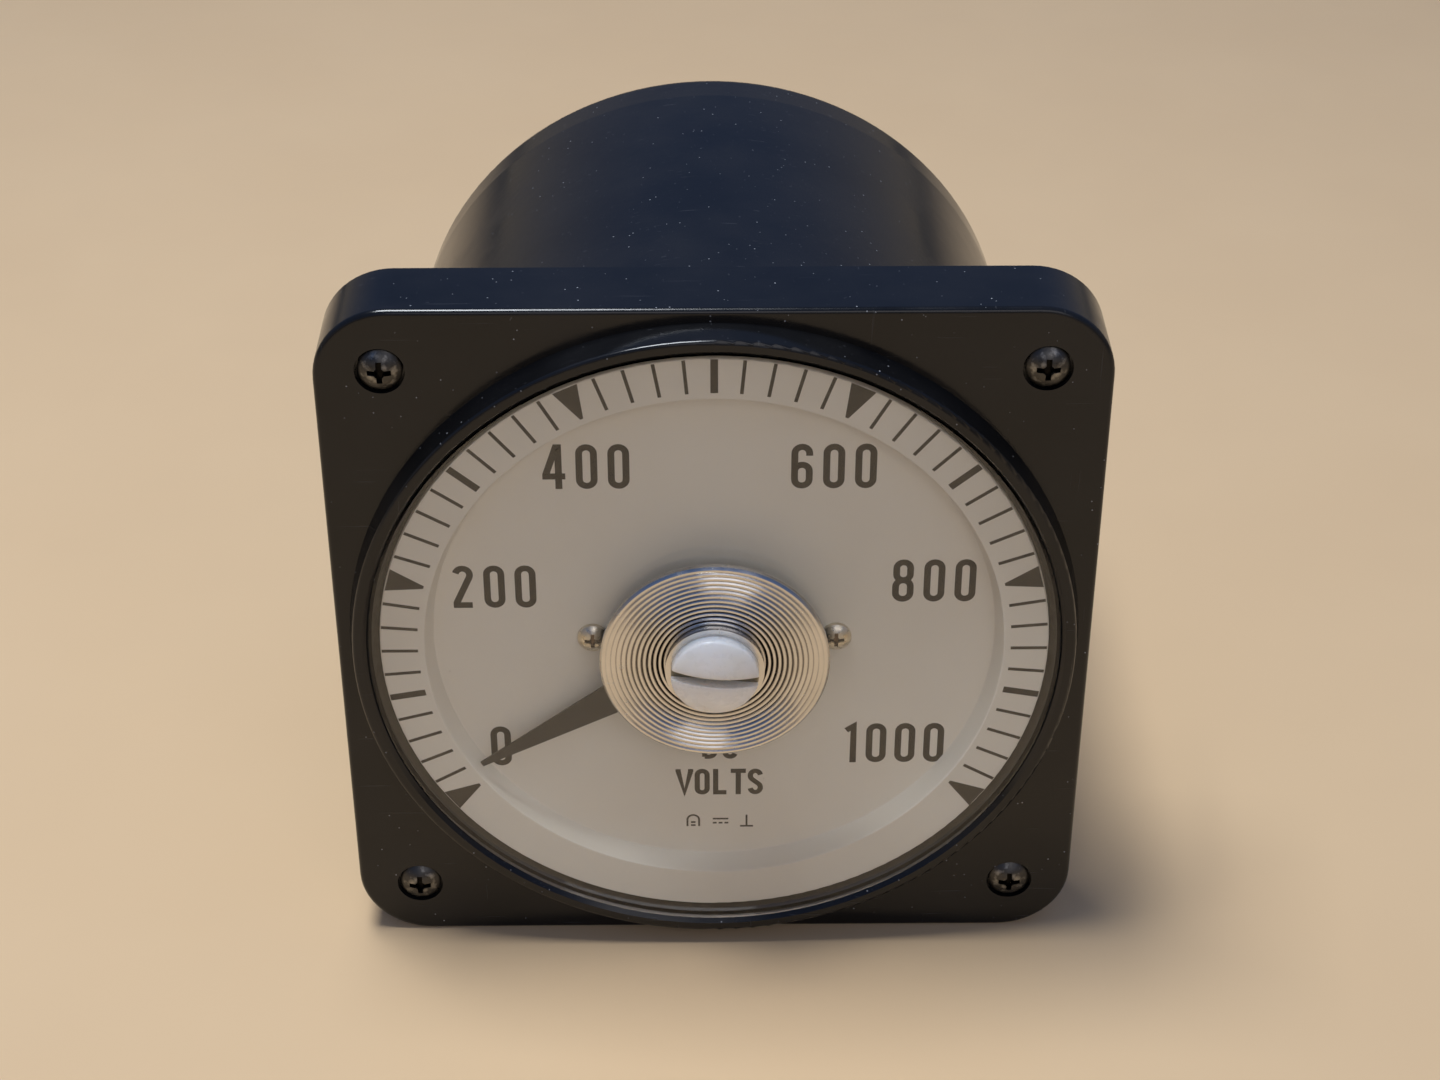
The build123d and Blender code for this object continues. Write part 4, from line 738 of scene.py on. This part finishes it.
# Small general signs under the unit: moving coil, direct current, and upright mounting.
signs = {
    "m": [[(-0.9, -1.1), (-0.9, 0.2)] + bend(0, 0.2, 0.9, 0.9, 180, 0) + [(0.9, 0.2), (0.9, -1.1)],
          [(-0.35, -0.9), (0.35, -0.9)], [(-0.35, -0.3), (0.35, -0.3)]],
    "d": [[(-1.2, 0.35), (1.2, 0.35)], [(-1.2, -0.45), (-0.6, -0.45)], [(-0.3, -0.45), (0.3, -0.45)],
          [(0.6, -0.45), (1.2, -0.45)]],
    "u": [[(-1.0, -1.1), (1.0, -1.1)], [(0.0, -1.1), (0.0, 1.1)]],
}
add_print("meter_signs", signs, sign_stroke, [("mdu", unit_x, -34.9, (4.2, 4.0))])

# ---- Dial screws ----
# Two small brass pan-head screws, nickel plated, with a cross recess. They hold the dial to its
# support, and the plating has yellowed in blots. The cross recess is painted dark brown as painted shade.
dial_screw_head_r = 2.25 * mm
dial_screw_low, dial_screw_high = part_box("dial_screws")
nickel = Finish("nickel_on_brass", {"Metallic": 1.0})
nickel.fold(dial_screw_high.x - dial_screw_head_r, 0.0)
yellowed = nickel.mottled(1.6 * mm, (0.66, 0.60, 0.50), (0.48, 0.40, 0.28), 0.5, 0.72, detail=4.0)
dial_screw_recess_painted_shade = nickel.recess_shade_mask(dial_screw_low.y, 1.35 * mm, 0.25 * mm)
# Painted shade: the cross recess is coloured dark brown.
nickel.colour(dial_screw_recess_painted_shade, yellowed, (0.10, 0.06, 0.035))
nickel.rough(nickel.noise(0.7 * mm), 0.24, 0.38)
nickel.relief(nickel.noise(0.3 * mm), 0.004 * mm)
nickel.on("dial_screws")

# ---- Pointer ----
# A flat lance of thin aluminium in matt black paint. It grips the front staff behind the
# bridge, and reaches out over the dial level with the scale.
pointer_paint = Finish("pointer_paint", {"Specular IOR Level": 0.35})
pointer_paint.mottled(3 * mm, (0.022, 0.019, 0.017), (0.034, 0.030, 0.027))
pointer_paint.rough(pointer_paint.noise(0.6 * mm), 0.45, 0.62)
pointer_paint.relief(pointer_paint.noise(0.15 * mm), 0.006 * mm)
pointer_paint.on("pointer")

# ---- Movement ----
# Behind the dial: a soft iron pole ring and core with an alloy magnet between them, brass
# bridge and clamp, a copper coil on an aluminium former, jewels, hairsprings and weights.


def iron(name, dark, light, roughness):
    """Ground or cast iron with a grain and a trace of oil."""
    metal = Finish(name, {"Metallic": 1.0})
    metal.mottled(3 * mm, dark, light, low=0.35, detail=5.0)
    metal.rough(metal.noise(0.9 * mm), roughness, roughness + 0.18)
    metal.relief(metal.noise(0.3 * mm, 4.0), 0.015 * mm)
    return metal


iron("soft_iron", (0.26, 0.26, 0.27), (0.36, 0.36, 0.37), 0.35).on("pole_ring", "core_ring")
iron("magnet_alloy", (0.13, 0.13, 0.14), (0.20, 0.20, 0.21), 0.5).on("magnet")
iron("stop_steel", (0.30, 0.30, 0.30), (0.45, 0.45, 0.44), 0.25).on(
    "travel_stops", "pole_spacers", "support_pillars", "movement_screws", "pole_screws", "pillar_screws",
    "clamp_screws", "board_screws", "front_jewel_screw", "rear_jewel_screw", "jewel_lock_nuts")
sheet_aluminium("plate_aluminium", 0.7).on("movement_plate")
brass("movement_brass").on(
    "front_bridge", "rear_clamp", "balance_weights", "rear_spring_anchor", "solder_lugs", "front_hairspring",
    "rear_hairspring")

wire_pitch = 0.19375 * mm
copper = Finish("enamelled_copper", {"Metallic": 0.85, "Coat Weight": 0.6, "Coat Roughness": 0.2})
windings = copper.wave(wire_pitch, 0.4, wave_type="BANDS", bands_direction="DIAGONAL")
copper.colour(copper.level(windings, 0.2, 0.8), (0.30, 0.10, 0.045), (0.66, 0.27, 0.13))
copper.rough(copper.noise(0.6 * mm), 0.25, 0.42)
copper.relief(windings, 0.03 * mm)
copper.on("coil_winding")

ruby = Finish("jewel_ruby", {"Transmission Weight": 0.7, "IOR": 1.76})
ruby.mottled(0.4 * mm, (0.62, 0.03, 0.08), (0.75, 0.08, 0.14), 0.0, 1.0)
ruby.rough(ruby.noise(0.3 * mm), 0.03, 0.1)
ruby.on("jewels")

# ---- Series resistors ----
# Four lacquered wire-wound resistors lie on a paper-laminate board and pass their tinned wires
# through it. Three covered leads join the board, the terminals and the movement.
laminate = Finish("paper_laminate", {"Specular IOR Level": 0.4})
paper_grain = laminate.level(laminate.noise(0.8 * mm, 4.0, (1.0, 1.0, 0.15)), 0.3, 0.7)
laminate.colour(paper_grain, (0.30, 0.16, 0.07), (0.40, 0.23, 0.11))
laminate.rough(laminate.noise(2 * mm), 0.35, 0.55)
laminate.relief(paper_grain, 0.008 * mm)
laminate.on("resistor_board")

lacquer = Finish("resistor_lacquer", {"Coat Weight": 0.4, "Coat Roughness": 0.15})
lacquer.mottled(2 * mm, (0.06, 0.15, 0.08), (0.09, 0.20, 0.12))
lacquer.rough(lacquer.noise(1 * mm), 0.25, 0.4)
lacquer.relief(lacquer.wave(1.0 * mm, 0.0, wave_type="BANDS", bands_direction="X"), 0.05 * mm)
lacquer.on("multiplier_resistors")

iron("tinned_wire", (0.50, 0.50, 0.50), (0.65, 0.65, 0.64), 0.25).on("resistor_leads")

lead_cover = Finish("lead_cover", {"Coat Weight": 0.2, "Coat Roughness": 0.2})
lead_cover.mottled(3 * mm, (0.35, 0.02, 0.015), (0.48, 0.035, 0.025))
lead_cover.rough(lead_cover.noise(1 * mm), 0.3, 0.5)
lead_cover.relief(lead_cover.noise(0.3 * mm), 0.01 * mm)
lead_cover.on("hookup_leads")

# ---- Terminals ----
# Two 1/4-28 brass studs pass through the rear wall, each with a square head inside, a plated
# washer and a hexagon nut with chamfered corners outside.
terminal_low, terminal_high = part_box("terminal_studs")
nut_low, nut_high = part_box("terminal_nuts")
washer_low, washer_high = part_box("terminal_washers")
washer_r = 7.0 * mm
terminal_x = (washer_high.x - washer_low.x) / 2 - washer_r
terminal_brass = brass("terminal_brass", terminal_x)
terminal_places = [(x, 0.0, 0.0) for x in (-terminal_x, terminal_x)]
terminal_r, terminal_pitch, terminal_thread, terminal_point = 3.175 * mm, 0.907 * mm, 0.5 * mm, 0.8 * mm
terminal_overlap = 0.5 * mm
head_front, head_rear = terminal_low.y, terminal_low.y + 3.0 * mm
head_half, head_bevel = 5.0 * mm, 0.4 * mm


def square_ring(half, y):
    """The four corners of a square across the Y axis."""
    return [Vector((x, y, z)) for x, z in ((-half, -half), (half, -half), (half, half), (-half, half))]


head_rings = [square_ring(head_half - head_bevel, head_front),
              square_ring(head_half, head_front + head_bevel),
              square_ring(head_half, head_rear - head_bevel),
              square_ring(head_half - head_bevel, head_rear)]
terminal_heads = skin("terminal_heads", head_rings, terminal_places)
terminal_threads = rightened(grown("terminal_threads", thread_tree, terminal_places, {
    "Start": head_rear - terminal_overlap, "Length": terminal_high.y - head_rear + terminal_overlap,
    "Crest Radius": terminal_r, "Thread Depth": terminal_thread, "Pitch": terminal_pitch,
    "Point": terminal_point, "Finish": terminal_brass.material}))
terminals = add_piece("threaded_terminals", merged("threaded_terminals", terminal_heads, terminal_threads),
                      terminal_brass.material, "housing")
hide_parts("terminal_studs")

# A cone of 30 degrees takes the nut's corners down to a round face, and so draws the curved
# edges of its flats.
nut_sides = 72
nut_half_flats = 5.55 * mm
nut_face_r = nut_half_flats * 0.97
nut_bore_r = 3.3 * mm
bore_chamfer = 0.3 * mm
chamfer_angle = radians(30)
corner_r = [nut_half_flats / cos((n * 2 * pi / nut_sides) % (pi / 3) - pi / 6) for n in range(nut_sides)]
falls = [(r - nut_face_r) * tan(chamfer_angle) for r in corner_r]
front_mouth, front_face, rear_face, rear_mouth, rear_bore, front_bore = turned_rings([
    (nut_bore_r + bore_chamfer, nut_low.y), (nut_face_r, nut_low.y), (nut_face_r, nut_high.y),
    (nut_bore_r + bore_chamfer, nut_high.y), (nut_bore_r, nut_high.y - bore_chamfer),
    (nut_bore_r, nut_low.y + bore_chamfer)], nut_sides)
front_corners = ring_at(corner_r, [nut_low.y + fall for fall in falls])
rear_corners = ring_at(corner_r, [nut_high.y - fall for fall in falls])
nut_rings = [front_mouth, front_face, front_corners, rear_corners, rear_face, rear_mouth, rear_bore,
             front_bore]
nut_mesh = skin("chamfered_terminal_nuts", nut_rings, terminal_places, tube=True)
nuts = add_piece("chamfered_terminal_nuts", nut_mesh, plated_steel.material, "housing")
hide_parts("terminal_nuts")
plated_steel.on("terminal_washers")
